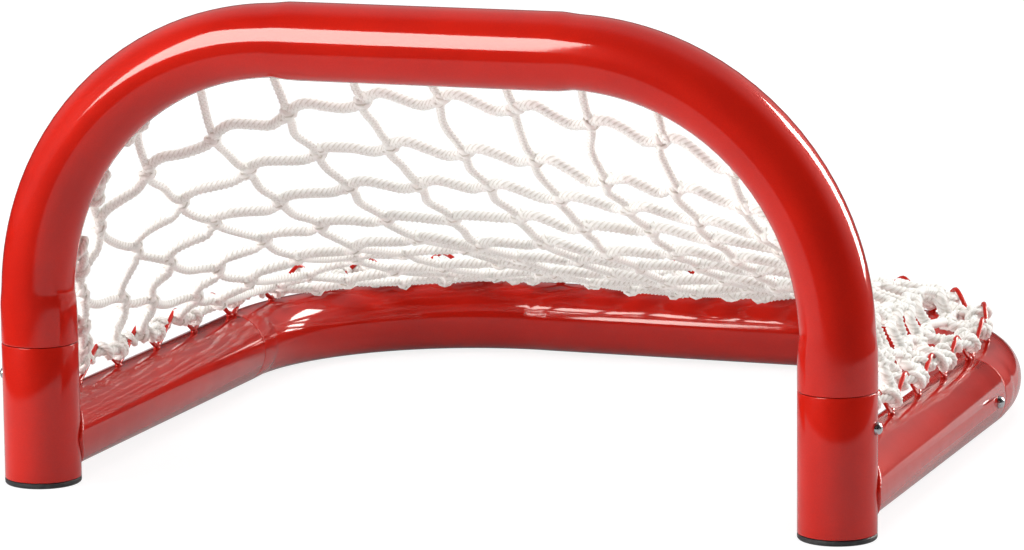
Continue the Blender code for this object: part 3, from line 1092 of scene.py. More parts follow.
@dataclass
class SpringButtons:
    """The four spring buttons and their leaves, and the holes that they stand in."""

    plan: Plan
    radius: float = 3.0 * MM
    standout: float = 2.9 * MM
    clearance: float = 0.3 * MM
    post_drop: float = 17.0 * MM
    rear_setback: float = 14.0 * MM
    travel: float = 4.8 * MM
    rivet_radius: float = 1.4 * MM
    rivet_head_radius: float = 2.4 * MM
    rivet_head_thickness: float = 0.7 * MM
    leaf_width: float = 7.0 * MM
    leaf_thickness: float = 0.7 * MM
    leaf_length: float = 32.0 * MM
    leaf_flat: float = 7.0 * MM
    leaf_bend: float = 3.5 * MM
    dome_share: float = 0.7
    shank_edge: float = 0.3 * MM
    rivet_curve: tuple[tuple[float, float], ...] = (
        (2.3 / 2.4, 0.0),
        (1.0, 1.5 / 7.0),
        (0.8, 0.8),
        (0.4, 1.0),
        (0.0, 1.0),
    )
    cad_sides: int = 24
    arc_steps: int = 12
    sides: int = 40
    hole_sides: int = 48

    @property
    def leaf_face(self) -> float:
        """How far a leaf's outer face is from the tube's axis.

        Returns:
            The distance.
        """
        stock = self.plan.stock
        bore = stock.slip_bore * math.cos(math.pi / self.cad_sides) - stock.gap
        return math.sqrt(bore**2 - (self.leaf_width / 2) ** 2)

    def places(self) -> dict[str, Matrix]:
        """Each button's frame, whose +X points out through its hole.

        Returns:
            The frames by place.
        """
        plan = self.plan
        found = {}
        for side in Side:
            face_out = Matrix.Rotation(0 if side.sign > 0 else math.pi, 4, "Z")
            for name, foot, height in (
                ("post", plan.post_place(side), plan.stub_seam - self.post_drop),
                ("rear", plan.side_place(side), plan.side_seam - self.rear_setback),
            ):
                up = Matrix.Translation((0, 0, height))
                found[f"{side.word}_{name}"] = foot @ up @ face_out
        return found

    def hole(self, place: str) -> Shape:
        """The drill for one button's hole.

        Args:
            place: The button's place.

        Returns:
            The drill.
        """
        middle = Matrix.Translation((self.plan.stock.radius, 0, 0))
        matrix = self.places()[place] @ middle @ ON_X
        radius = self.radius + self.clearance
        return drill(radius, self.plan.stock.radius, matrix, self.hole_sides)

    def button_shape(self, matrix: Matrix) -> Shape:
        """A domed head on a shank, with a rivet through the leaf.

        Args:
            matrix: The button's frame.

        Returns:
            The button.
        """
        gap = self.plan.stock.gap
        shank_in = self.leaf_face + gap
        head_in = self.leaf_face - self.leaf_thickness - gap
        head = self.rivet_head_radius
        thick = self.rivet_head_thickness
        rise = self.dome_share * self.standout
        shoulder = self.plan.stock.radius + self.standout - rise
        edge = self.shank_edge
        profile = [
            (self.radius * sine, shoulder + rise * cosine)
            for sine, cosine in quarter_turn(self.arc_steps)
        ]
        profile += [
            (self.radius, shank_in + edge),
            (self.radius - edge, shank_in),
            (self.rivet_radius, shank_in),
            (self.rivet_radius, head_in),
        ]
        profile += [(out * head, head_in - down * thick) for out, down in self.rivet_curve]
        shape = bmesh.new()
        turn_profile(shape, profile, False, self.sides, matrix @ ON_X)
        return shape

    def leaf_shape(self, matrix: Matrix) -> Shape:
        """A bent strip that runs from the button round to the far wall.

        Args:
            matrix: The button's frame.

        Returns:
            The strip.
        """
        face = self.leaf_face - self.leaf_thickness / 2
        centre = self.leaf_length - self.leaf_flat - self.leaf_bend
        flats = (-self.leaf_flat, 0.0, self.leaf_flat)
        line = [Vector((face, 0, height)) for height in flats]
        for step in range(self.arc_steps + 1):
            angle = math.pi * step / self.arc_steps
            out = self.leaf_bend * math.cos(angle)
            line.append(Vector((out, 0, centre + self.leaf_bend * math.sin(angle))))
        line += [Vector((-face, 0, height)) for height in reversed(flats)]
        shape = bmesh.new()
        low = [shape.verts.new(point - Vector((0, self.leaf_width / 2, 0))) for point in line]
        edges = [shape.edges.new(pair) for pair in zip(low, low[1:])]
        drawn = bmesh.ops.extrude_edge_only(shape, edges=edges)
        new = new_parts(drawn, bmesh.types.BMVert)
        bmesh.ops.translate(shape, vec=(0, self.leaf_width, 0), verts=new)
        bmesh.ops.recalc_face_normals(shape, faces=shape.faces[:])
        bmesh.ops.solidify(shape, geom=shape.faces[:], thickness=self.leaf_thickness)
        reach = [vert.co.x for vert in shape.verts]
        middle = (min(reach) + max(reach)) / 2
        bmesh.ops.translate(shape, vec=(-middle, 0, 0), verts=shape.verts[:])
        bmesh.ops.recalc_face_normals(shape, faces=shape.faces[:])
        bmesh.ops.transform(shape, matrix=matrix, verts=shape.verts[:])
        return shape

    def build(self, shop: Workshop) -> None:
        """Add the buttons on their own bodies, and the leaves, each with its own copy of its
        mesh.

        Args:
            shop: Makes and keeps the pieces.
        """
        for place, matrix in self.places().items():
            button = f"{place}_button"
            head = self.button_shape(matrix)
            shop.add(f"{place}_snap_button", button, head, Slot.CHROME_BUTTON, button)
            strip = self.leaf_shape(matrix)
            leaf = shop.add(f"{place}_leaf", f"{place}_leaf_spring", strip, Slot.LEAF_SPRING)
            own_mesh(leaf)


@dataclass
class TubeFrame:
    """Arch, rear tube, sockets, side tubes, welds and feet."""

    plan: Plan
    buttons: SpringButtons
    weld_radius: float = 1.4 * MM
    weld_ripple: float = 1.7 * MM
    ripple_steps: int = 8
    ripple_depth: float = 0.10
    bead_low: float = 0.92
    bead_rough: float = 0.05
    rough_steps: int = 40
    rough_place: tuple[float, float] = (7.0, 3.0)
    bead_sides: int = 12
    bead_length: float = 1.1
    foot_edge: float = 1.2 * MM
    foot_break: float = 0.3 * MM
    plug_height: float = 14.0 * MM
    plug_wall: float = 2.0 * MM
    ribs: int = 3
    rib_height: float = 0.9 * MM
    rib_curve: tuple[tuple[float, float], ...] = (
        (0.35, 0.0),
        (0.6, 1.0),
        (0.75, 1.0),
        (0.85, 0.0),
    )
    cup_edge: float = 1.0 * MM
    foot_edge_steps: int = 6

    def straight(self, low: float, high: float, matrix: Matrix) -> Shape:
        """A straight tube with eased ends, turned about its axis.

        Args:
            low: Where the tube starts along Z.
            high: Where it ends.
            matrix: The tube's own frame.

        Returns:
            The tube's closed wall.
        """
        stock = self.plan.stock
        shape = bmesh.new()
        profile = rounded_wall(stock.radius, stock.bore, low, high, stock.edge_round)
        turn_profile(shape, profile, True, stock.sides, matrix)
        return shape

    def weld_shape(self, side: Side) -> Shape:
        """A rippled bead round the joint of stub post and side tube.

        Args:
            side: The side of the mouth.

        Returns:
            The bead.
        """
        stock = self.plan.stock
        reach = stock.radius + stock.gap
        length = math.tau * reach * self.bead_length
        count = self.ripple_steps * round(length / self.weld_ripple)
        shift = self.plan.post_x(side)
        points = []
        radii = []
        for step in range(count):
            angle = math.tau * step / count
            across = stock.radius * math.sin(angle)
            along = math.sqrt(reach**2 - across**2)
            up = stock.radius * math.cos(angle)
            points.append(self.plan.base_place @ Vector((shift + across, along, up)))
            ripple = math.sqrt(1 - step % self.ripple_steps / self.ripple_steps)
            rough = noise.noise(Vector((step / self.rough_steps, *self.rough_place)))
            swell = self.ripple_depth * ripple + self.bead_rough * rough
            radii.append(self.bead_low + swell)
        sides = self.bead_sides
        return cord_shape([points], self.weld_radius, sides, [radii], closed=True)

    def foot_shape(self, side: Side) -> Shape:
        """A foot cap: flange, ribbed plug and hollow.

        Args:
            side: The side of the mouth.

        Returns:
            The cap.
        """
        stock = self.plan.stock
        top = self.plan.foot_thickness - stock.gap
        core = stock.bore - stock.gap - self.rib_height
        cup = core - self.plug_wall
        nick = self.foot_break
        profile = [
            (0.0, top + self.plug_wall),
            (cup - self.cup_edge, top + self.plug_wall),
            (cup, top + self.plug_wall + self.cup_edge),
            (cup, self.plug_height - nick),
            (cup + nick, self.plug_height),
            (core - 2 * nick, self.plug_height),
            (core, self.plug_height - 2 * nick),
        ]
        pitch = (self.plug_height - top) / self.ribs
        for index in range(self.ribs):
            high = self.plug_height - index * pitch
            for down, out in self.rib_curve:
                profile.append((core + out * self.rib_height, high - down * pitch))
        profile += [(core, top), (stock.radius - nick, top), (stock.radius, top - nick)]
        edge = self.foot_edge
        for sine, cosine in quarter_turn(self.foot_edge_steps):
            profile.append((stock.radius - edge * (1 - cosine), edge * (1 - sine)))
        profile.append((0.0, 0.0))
        shape = bmesh.new()
        turn_profile(shape, profile, False, stock.sides, self.plan.post_place(side))
        return shape

    def build_bent(self, shop: Workshop) -> None:
        """Add the arch and the rear tube, with their buttons' holes.

        Args:
            shop: Makes and keeps the pieces.
        """
        plan = self.plan
        for name, node, path, seam, place in (
            ("painted_arch", "arch_tube", plan.arch, plan.stub_seam, "post"),
            ("painted_rear_tube", "rear_tube", plan.base, plan.side_seam, "rear"),
        ):
            holes = [self.buttons.hole(f"{side.word}_{place}") for side in Side]
            shop.add(name, node, BentTube(plan.stock, path, seam).shape(), cutters=holes)

    def build_corner(self, shop: Workshop, side: Side) -> None:
        """Add a stub post, the side tube coped to fit round it, their weld and the foot.

        Args:
            shop: Makes and keeps the pieces.
            side: The side of the mouth.
        """
        plan = self.plan
        stock = plan.stock
        word = side.word
        post = plan.post_place(side)
        stub = self.straight(plan.foot_thickness, plan.stub_seam, post)
        holes = [self.buttons.hole(f"{word}_post")]
        shop.add(f"{word}_socket_post", f"{word}_stub_post", stub, cutters=holes)
        cope = drill(stock.radius + stock.gap, 4 * stock.outside, post, stock.sides)
        rail = self.straight(0.0, plan.side_seam, plan.side_place(side))
        holes = [cope, self.buttons.hole(f"{word}_rear")]
        shop.add(f"{word}_base_rail", f"{word}_side_tube", rail, cutters=holes)
        shop.add(f"{word}_weld", f"{word}_weld_bead", self.weld_shape(side), sharp=60.0)
        foot = self.foot_shape(side)
        shop.add(f"{word}_end_cap", f"{word}_foot_cap", foot, Slot.BLACK_CAP)

    def build(self, shop: Workshop) -> None:
        """Add every piece of the tube frame.

        Args:
            shop: Makes and keeps the pieces.
        """
        self.build_bent(shop)
        for side in Side:
            self.build_corner(shop, side)


# Cords and wires


def cord_shape(
    lines: Sequence[Sequence[Vector]],
    radius: float,
    sides: int,
    radii: Sequence[Sequence[float]] | None = None,
    closed: bool = False,
    braid: float = 0.0,
) -> Shape:
    """A round cord or wire along each line.

    Args:
        lines: The points of each line, already close together.
        radius: The cord's radius.
        sides: Number of sides, even and at least 6.
        radii: A share of the radius for each point.
        closed: Whether the lines are loops.
        braid: How far crests and valleys stand from the radius, as a share of it.

    Returns:
        The closed skin. Where it is braided, its vertices have a "braid" attribute.
    """
    curve = bpy.data.curves.new("cord", "CURVE")
    curve.dimensions = "3D"
    curve.bevel_depth = radius
    curve.bevel_resolution = (sides - 4) // 2
    curve.use_fill_caps = False
    for number, line in enumerate(lines):
        spline = curve.splines.new("POLY")
        spline.points.add(len(line) - 1)
        flat = [value for point in line for value in (*point, 1.0)]
        spline.points.foreach_set("co", flat)
        if radii is not None:
            spline.points.foreach_set("radius", list(radii[number]))
        spline.use_cyclic_u = closed
    item = put("cord", curve)
    graph = bpy.context.evaluated_depsgraph_get()
    mesh = bpy.data.meshes.new_from_object(item.evaluated_get(graph))
    bpy.data.objects.remove(item, do_unlink=True)
    bpy.data.curves.remove(curve)
    if braid:
        plait(mesh, lines, sides, braid)
    shape = bmesh.new()
    shape.from_mesh(mesh)
    bpy.data.meshes.remove(mesh)
    if not closed:
        open_edges = [edge for edge in shape.edges if edge.is_boundary]
        bmesh.ops.holes_fill(shape, edges=open_edges, sides=sides)
    bmesh.ops.recalc_face_normals(shape, faces=shape.faces[:])
    return shape


PLAIT_RINGS = 3
PLAIT_SLANT = 3.4


def plait(
    mesh: bpy.types.Mesh, lines: Sequence[Sequence[Vector]], sides: int, depth: float
) -> None:
    """Raise slanting strands that meet in a herringbone along the cord.

    Args:
        mesh: A cord's mesh, whose vertices are ring after ring.
        lines: The line of each cord in the mesh.
        sides: Number of sides of a ring.
        depth: How far crests and valleys stand from the skin, as a share of the radius.
    """
    centres = np.array([tuple(point) for line in lines for point in line])
    rings = np.concatenate([np.arange(len(line)) for line in lines])
    count = len(centres) * sides
    if len(mesh.vertices) != count:
        raise ValueError(f"the cord has {len(mesh.vertices)} vertices and not {count}")
    points = np.empty(count * 3, np.float32)
    mesh.vertices.foreach_get("co", points)
    points = points.reshape(len(centres), sides, 3)
    angle = math.tau * np.arange(sides) / sides
    slant = PLAIT_SLANT * np.minimum(angle, math.tau - angle)
    crest = 0.5 + 0.5 * np.cos(math.tau / PLAIT_RINGS * rings[:, None] + slant[None, :])
    share = 1.0 + depth * (2.0 * crest - 1.0)
    middle = centres[:, None, :]
    points = middle + (points - middle) * share[:, :, None]
    mesh.vertices.foreach_set("co", points.astype(np.float32).ravel())
    # The braid value is each vertex's crest height; the cord finish paints shade into the
    # valleys from it.
    value = mesh.attributes.new("braid", "FLOAT", "POINT")
    value.data.foreach_set("value", crest.astype(np.float32).ravel())
    mesh.update()


@dataclass(frozen=True)
class Edge:
    """Border cord along one edge of the net.

    Attributes:
        stops: The places where a knot can sit, in order.
        between: The points between each stop and the next.
    """

    stops: list[Vector]
    between: list[list[Vector]]

    def then(self, other: "Edge", bridge: Sequence[Vector] = ()) -> "Edge":
        """This edge, the points of the jump, and the next edge."""
        between = self.between + [list(bridge)] + other.between
        return Edge(self.stops + other.stops, between)

    def turned(self) -> "Edge":
        """The same edge from its other end."""
        return Edge(self.stops[::-1], [points[::-1] for points in reversed(self.between)])

    def line(self) -> list[Vector]:
        """Every point of the edge in order."""
        runs = zip(self.between, self.stops[1:])
        return self.stops[:1] + [point for run, stop in runs for point in (*run, stop)]

    def knots(self, intervals: int) -> list[Vector]:
        """The stops that carry knots, spread evenly over the edge."""
        last = len(self.stops) - 1
        return [self.stops[round(step * last / intervals)] for step in range(intervals + 1)]


@dataclass(frozen=True)
class LacingWire:
    """A zigzag wire welded along a tube, for the net to be laced to."""

    path: BentPath
    start: float
    end: float
    humps: int
    tube_radius: float
    radius: float = 1.2 * MM
    height: float = 16.0 * MM
    rounding: float = 0.96
    gap: float = 0.3 * MM
    weave: float = 4.8 * MM
    border_lift: float = 9.0 * MM
    tip_lift: float = 0.0
    hang: float = 0.0
    sway: float = 0.0
    sway_scale: float = 24.0
    sway_place: float = 3.0
    shares: tuple[float, float, float, float] = (0.0, 1.0, -0.5, -1.0)
    weld_lift: float = 0.4 * MM
    weld_sizes: tuple[float, float, float] = (1.9 * MM, 2.7 * MM, 1.7 * MM)
    steps: int = 28
    sides: int = 12

    @property
    def pitch(self) -> float:
        """Distance from hump to hump."""
        return (self.end - self.start) / self.humps

    def lift(self, phase: float) -> float:
        """Height of the wire above the tube's axis, from foot to rounded tip and back.

        Args:
            phase: How many pitches past the start.

        Returns:
            The height.
        """
        foot = self.radius + self.gap
        tip = math.asin(self.rounding)
        share = 0.5 - math.asin(self.rounding * math.cos(math.tau * phase)) / (2 * tip)
        return self.tube_radius + foot + share * (self.height - foot)

    def thread(self, quarter: int, hung: bool = True) -> Vector:
        """Where border cord lies, by quarters of the pitch from the start.

        Args:
            quarter: The number of quarters.
            hung: Whether the cord hangs inward between the humps.

        Returns:
            The place of the cord.
        """
        foot = 0.5 + 0.5 * math.cos(math.pi * quarter / 2)
        weave = self.weave * self.shares[quarter % 4]
        distance = self.start + quarter * self.pitch / 4
        if hung:
            spot = Vector((distance * self.sway_scale, self.sway_place, 0.0))
            weave -= self.hang * foot * (1 + self.sway * noise.noise(spot))
        lift = self.border_lift + self.tip_lift * (1 - foot)
        return self.path.point(distance, weave, self.tube_radius + lift)

    def edge(self, first_half: int, last_half: int) -> Edge:
        """Border cord between two stops, counted in half pitches from the start.

        Args:
            first_half: The first stop.
            last_half: The last stop.

        Returns:
            The edge.
        """
        stops = [self.thread(2 * half) for half in range(first_half, last_half + 1)]
        between = [[self.thread(2 * half + 1)] for half in range(first_half, last_half)]
        return Edge(stops, between)

    def shape(self) -> Shape:
        """The bent wire with a small weld at each foot.

        Returns:
            The wire and its welds.
        """
        line = []
        for step in range(self.humps * self.steps + 1):
            phase = step / self.steps
            distance = self.start + phase * self.pitch
            line.append(self.path.point(distance, 0.0, self.lift(phase)))
        shape = cord_shape([line], self.radius, self.sides)
        for hump in range(self.humps + 1):
            self.add_weld(shape, self.start + hump * self.pitch)
        bmesh.ops.recalc_face_normals(shape, faces=shape.faces[:])
        return shape

    def add_weld(self, shape: Shape, distance: float) -> None:
        """Add the low lump of weld at one foot of the wire.

        Args:
            shape: The wire's shape.
            distance: Where on the tube the foot is.
        """
        low = self.tube_radius + self.weld_lift
        centre = self.path.point(distance, 0.0, low)
        up = (self.path.point(distance, 0.0, low + 1.0) - centre).normalized()
        out = (self.path.point(distance, 1.0, low) - centre).normalized()
        ways = zip((out, out.cross(up), up), self.weld_sizes)
        lump = frame_at(centre, *(way * size for way, size in ways))
        bmesh.ops.create_icosphere(shape, subdivisions=2, radius=1.0, matrix=lump)


@dataclass
class Lacing:
    """The four zigzag wires, each kept clear of the seams at its ends."""

    plan: Plan
    arch_humps: int = 15
    side_humps: int = 4
    rear_humps: int = 13
    end_margin: float = 3.0 * MM
    side_start: float = 45.0 * MM
    arch_hang: float = 11.0 * MM
    rear_hang: float = 6.5 * MM
    rear_sway: float = 0.8
    side_lift: float = 9.0 * MM
    rear_lift: float = 7.0 * MM
    tip_lift: float = 3.2 * MM
    mirrored_shares: tuple[float, float, float, float] = (0.0, -1.0, -0.5, 1.0)
    wires: dict[str, LacingWire] = field(default_factory=dict)

    def __post_init__(self) -> None:
        """Place the wires and give each the lie of its border cord."""
        arch = self.plan.arch
        base = self.plan.base
        radius = self.plan.stock.radius
        arch_end = arch.leg_distance(self.plan.stub_seam) - self.end_margin
        front = base.leg_distance(self.side_start)
        seam = base.leg_distance(self.plan.side_seam)
        back = seam + self.end_margin
        rear = seam - self.end_margin
        low = LacingWire(base, -rear, rear, self.rear_humps, radius, tip_lift=self.tip_lift)
        side = replace(low, humps=self.side_humps, border_lift=self.side_lift)
        self.wires = {
            "arch": LacingWire(
                arch, -arch_end, arch_end, self.arch_humps, radius, hang=self.arch_hang
            ),
            "left_side": replace(side, start=-front, end=-back),
            "rear": replace(
                low, border_lift=self.rear_lift, hang=self.rear_hang, sway=self.rear_sway
            ),
            "right_side": replace(side, start=front, end=back, shares=self.mirrored_shares),
        }

    def build(self, shop: Workshop) -> None:
        """Add the wires."""
        for place, wire in self.wires.items():
            shop.add(f"{place}_zigzag", f"{place}_lacing_wire", wire.shape(), sharp=70.0)


# Net


@dataclass(frozen=True)
class Pull:
    """A place where the net hangs lower or higher than a smooth one, or is drawn aside.

    Attributes:
        column: Middle of the place, counted in columns.
        row: Middle of the place, counted in rows.
        width: How many columns it reaches.
        length: How many rows it reaches.
        lower: How far the net hangs lower in its middle.
        across: How far the net is drawn along +X in its middle.
    """

    column: float
    row: float
    width: float
    length: float
    lower: float = 0.0
    across: float = 0.0

    def shift(self, column: int, row: int) -> Vector:
        """How far a knot is moved by this place."""
        far = ((column - self.column) / self.width) ** 2 + ((row - self.row) / self.length) ** 2
        return Vector((self.across, 0.0, -self.lower)) * math.exp(-far)


@dataclass(frozen=True)
class Unevenness:
    """A smooth random change from place to place, and nought on the whole.

    Attributes:
        size: The largest change.
        scale: How quickly it changes, per metre.
    """

    size: float
    scale: float

    def at(self, place: Vector, apart: float = 0.0) -> float:
        """The change at a place, with other values for another number in apart."""
        return self.size * noise.noise(place * self.scale + Vector((apart, 0.0, 0.0)))


@dataclass(frozen=True)
class Bars:
    """How the bars of the net's rows, or of its columns, run from knot to knot.

    Attributes:
        cord: Thickness of the cord.
        bows: How far a bar bows at each of its spots.
        along_knot: Whether the cord leaves a knot at the knot's end: 1, or 0 for its middle.
        step: How many columns and rows apart two such cords are.
    """

    cord: float
    bows: tuple[float, float, float]
    along_knot: float
    step: tuple[int, int]


@dataclass
class Net:
    """The laced net: rows and columns of braided cord, knots and a border."""

    plan: Plan
    lacing: Lacing
    cord: float = 4.2 * MM
    columns: int = 15
    rows: int = 11
    rear_left_stop: int = 8
    sag: float = 45.0 * MM
    sag_rear_loss: float = 0.25
    pull: float = 26.0 * MM
    sag_shape: float = 0.6
    sag_spread: float = 0.6
    side_hold: float = 3.0
    side_inset: float = 6.0 * MM
    row_bars: Bars = Bars(5.3 * MM, (2.2 * MM, 0.0, -2.6 * MM), 1.0, (0, 1))
    column_bars: Bars = Bars(4.3 * MM, (2.72 * MM, 3.4 * MM, 1.7 * MM), 0.0, (1, 0))
    bow_spots: tuple[float, float, float] = (0.22, 0.5, 0.78)
    bow_slack: Unevenness = Unevenness(1.1, 60.0)
    bow_apart: float = 9.0
    full_bow: float = 24.0 * MM
    wander: float = 1.0 * MM
    wander_scale: float = 34.0
    wander_seed: int = 98
    knot_stray: float = 2.0 * MM
    knot_scale: float = 1.7
    bead: float = 0.9 * MM
    plait_depth: float = 0.16
    tube_gap: float = 0.2 * MM
    sides: int = 10
    knot_sides: int = 6
    knot_reach: float = 5.0 * MM
    knot_turn: float = 0.55
    knot_twist: Unevenness = Unevenness(0.25, 120.0)
    knot_size: Unevenness = Unevenness(0.15, 90.0)
    knot_start: Unevenness = Unevenness(1.0, 150.0)
    knot_coil: float = 2.9 * MM
    knot_taper: float = 0.14
    knot_cord: float = 3.8 * MM
    knot_turns: float = 1.8
    knot_steps: int = 15
    knot_ends: tuple[float, float] = (0.55, 0.85)
    front_fade: int = 8
    lash_cord: float = 3.2 * MM
    lash_reach: float = 3.5 * MM
    lash_pitch: float = 12.0 * MM
    lash_swell: Unevenness = Unevenness(0.3, 70.0)
    lash_slip: Unevenness = Unevenness(0.35, 25.0)
    pulls: tuple[Pull, ...] = (
        Pull(6.8, 1.9, 1.5, 1.7, lower=-7.5 * MM),
        Pull(4.6, 0.9, 1.3, 0.9, lower=3.5 * MM),
        Pull(10.0, 2.3, 1.7, 2.0, lower=7.0 * MM),
        Pull(4.8, 4.0, 1.6, 1.4, lower=3.5 * MM),
        Pull(7.5, 0.9, 4.0, 0.75, lower=-4.8 * MM),
        Pull(7.0, 2.0, 0.7, 0.6, lower=4.4 * MM),
        Pull(9.2, 2.1, 1.0, 0.7, lower=3.4 * MM),
        Pull(2.4, 2.4, 1.4, 1.8, across=-9.0 * MM),
        Pull(10.6, 1.5, 1.8, 1.5, across=-4.2 * MM),
        Pull(12.4, 8.2, 1.6, 2.9, lower=-17.0 * MM),
    )

    def edges(self) -> tuple[Edge, Edge, Edge, Edge]:
        """The net's front, left, rear and right edges.

        Returns:
            The four edges, each from its front or left end.
        """
        wires = self.lacing.wires
        humps = self.lacing.side_humps
        front = wires["arch"].edge(0, 2 * self.lacing.arch_humps)
        right_stop = self.rear_left_stop + self.columns
        last = 2 * self.lacing.rear_humps - 1
        back = wires["rear"]
        sides = []
        for corner, side, turn, past_seam in (
            (front.stops[0], "left_side", back.edge(1, self.rear_left_stop), 1),
            (front.stops[-1], "right_side", back.edge(right_stop, last).turned(), 2 * last + 1),
        ):
            wire = wires[side]
            jump = [wire.thread(4 * humps - 1), back.thread(past_seam)]
            run = Edge([corner], []).then(wire.edge(0, 2 * humps - 1))
            sides.append(run.then(turn, jump))
        return front, sides[0], back.edge(self.rear_left_stop, right_stop), sides[1]

    def knot(self, edges: Sequence[Sequence[Vector]], column: int, row: int) -> Vector:
        """Where one knot hangs.

        Args:
            edges: The knots of the front, left, rear and right edge.
            column: The knot's column, from the left.
            row: The knot's row, from the front.

        Returns:
            The knot's middle.
        """
        front, left, rear, right = edges
        across = column / self.columns
        back = row / self.rows
        point = front[column].lerp(rear[column], back)
        for side, distance in ((left, across), (right, 1 - across)):
            if distance == 0:
                return side[row].copy()
            held = (1 - distance) ** self.side_hold
            point += (side[row] - side[0].lerp(side[-1], back)) * held
        if row == self.rows:
            return point
        slip = self.lacing.wires["arch"].thread(4 * column + 1) - front[column]
        point += slip * (1 - back) ** self.front_fade
        if row == 0:
            return point
        point.x += self.side_inset / column - self.side_inset / (self.columns - column)
        spread = math.sin(math.pi * across) ** self.sag_spread
        swell = math.sin(math.pi * back)
        point.y -= self.pull * spread * swell
        drop = self.sag * spread * swell**self.sag_shape
        point.z -= drop * (1 - self.sag_rear_loss * back)
        for place in self.pulls:
            point += place.shift(column, row)
        return point + self.stray(point * self.knot_scale, self.knot_stray)

    def grid(self) -> Grid:
        """Every knot of the net, by column and row.

        Returns:
            The knots' middles.
        """
        noise.seed_set(self.wander_seed)
        counts = (self.columns, self.rows, self.columns, self.rows)
        picks = [edge.knots(count) for edge, count in zip(self.edges(), counts)]
        wire = self.lacing.wires["arch"]
        picks[0] = [wire.thread(4 * column, hung=False) for column in range(self.columns + 1)]
        return {
            (column, row): self.knot(picks, column, row)
            for column in range(self.columns + 1)
            for row in range(self.rows + 1)
        }

    def stray(self, point: Vector, amount: float) -> Vector:
        """A small wander of the cord that depends only on where it is."""
        return noise.noise_vector(point * self.wander_scale) * amount

    def knot_way(self, grid: Grid, column: int, row: int) -> Vector:
        """The slanting direction in which a knot lies, from its lower left to its upper right.

        Args:
            grid: Every knot of the net.
            column: The knot's column.
            row: The knot's row.

        Returns:
            The direction, of length one.
        """
        left = grid[max(column - 1, 0), row]
        right = grid[min(column + 1, self.columns), row]
        front = grid[column, max(row - 1, 0)]
        back = grid[column, min(row + 1, self.rows)]
        run = (right - left).normalized()
        rise = (front - back).normalized()
        rise = (rise - run * rise.dot(run)).normalized()
        turn = self.knot_turn + self.knot_twist.at(grid[column, row])
        return run * math.cos(turn) + rise * math.sin(turn)

    def clear(self, point: Vector, cord: float) -> Vector:
        """The point moved off the tubes if it lies closer than the cord allows.

        Args:
            point: A point of a cord's middle.
            cord: The cord's thickness.

        Returns:
            The point, moved or not.
        """
        keep = self.plan.stock.radius + cord / 2 + self.tube_gap
        for path in (self.plan.arch, self.plan.base):
            near = path.nearest(point)
            away = point - near
            if away.length < keep:
                point = near + away.normalized() * keep
        return point

    def cord_line(
        self,
        knots: Sequence[Vector],
        ends: Sequence[Vector],
        ways: Sequence[Vector],
        bars: Bars,
    ) -> list[Vector]:
        """A cord through knots, each bar of it bowed sideways.

        Args:
            knots: The knots that the cord passes.
            ends: How far the cord leaves each knot from its middle.
            ways: The direction of the bow at each knot.
            bars: How its bars run.

        Returns:
            The points of the cord.
        """
        points = [knots[0]]
        last = len(knots) - 2
        for index, (first, second) in enumerate(zip(knots, knots[1:])):
            start = first + ends[index]
            end = second - ends[index + 1]
            way = (ways[index] + ways[index + 1]).normalized()
            hold = min(1.0, (second - first).length / self.full_bow)
            if index > 0:
                points.append(start)
            for spot, bow in zip(self.bow_spots, bars.bows):
                place = start.lerp(end, spot)
                slack = 1 + self.bow_slack.at(place, spot * self.bow_apart)
                place += way * bow * hold * slack
                points.append(place + self.stray(place, self.wander))
            if index < last:
                points.append(end)
        line = smooth_line([*points, knots[-1]], self.bead)
        return [self.clear(point, bars.cord) for point in line]

    def inner_cords(self, grid: Grid, bars: Bars) -> list[list[Vector]]:
        """The inner rows from left to right, or the inner columns from front to rear.

        Args:
            grid: Every knot of the net.
            bars: How the bars of the rows or of the columns run.

        Returns:
            The points of each cord.
        """
        across, back = bars.step
        lines = []
        for number in range(1, across * self.columns + back * self.rows):
            spots = [spot for spot in grid if spot[back] == number]
            knots = [grid[spot] for spot in spots]
            reach = bars.along_knot * self.knot_reach
            ends = [self.knot_way(grid, *spot) * reach for spot in spots]
            before = [grid[column - across, row - back] for column, row in spots]
            after = [grid[column + across, row + back] for column, row in spots]
            ways = [(one - other).normalized() for one, other in zip(before, after)]
            lines.append(self.cord_line(knots, ends, ways, bars))
        return lines

    def border_line(self) -> list[Vector]:
        """The border cord all the way round.

        Returns:
            The points of the loop.
        """
        front, left, rear, right = self.edges()
        points = front.line() + right.line()[1:]
        points += rear.turned().line()[1:] + left.turned().line()[1:-1]
        line = smooth_line(points, self.bead, closed=True)
        return [self.clear(point, self.cord) for point in line]

    def lashing_line(self) -> list[Vector]:
        """The thin cord that winds round the border cord and ties it to the wires.

        Returns:
            The points of the cord.
        """
        core = self.border_line()
        core.append(core[0].copy())
        side = (core[1] - core[0]).orthogonal().normalized()
        points = []
        run = 0.0
        for place, after in zip(core, core[1:]):
            along = (after - place).normalized()
            side = (side - along * side.dot(along)).normalized()
            angle = math.tau * run / self.lash_pitch
            way = side * math.cos(angle) + along.cross(side) * math.sin(angle)
            points.append(place + way * self.lash_reach * (1 + self.lash_swell.at(place)))
            run += (after - place).length * (1 + self.lash_slip.at(place))
        line = even_line(points, self.bead)
        return [self.clear(point, self.lash_cord) for point in line]

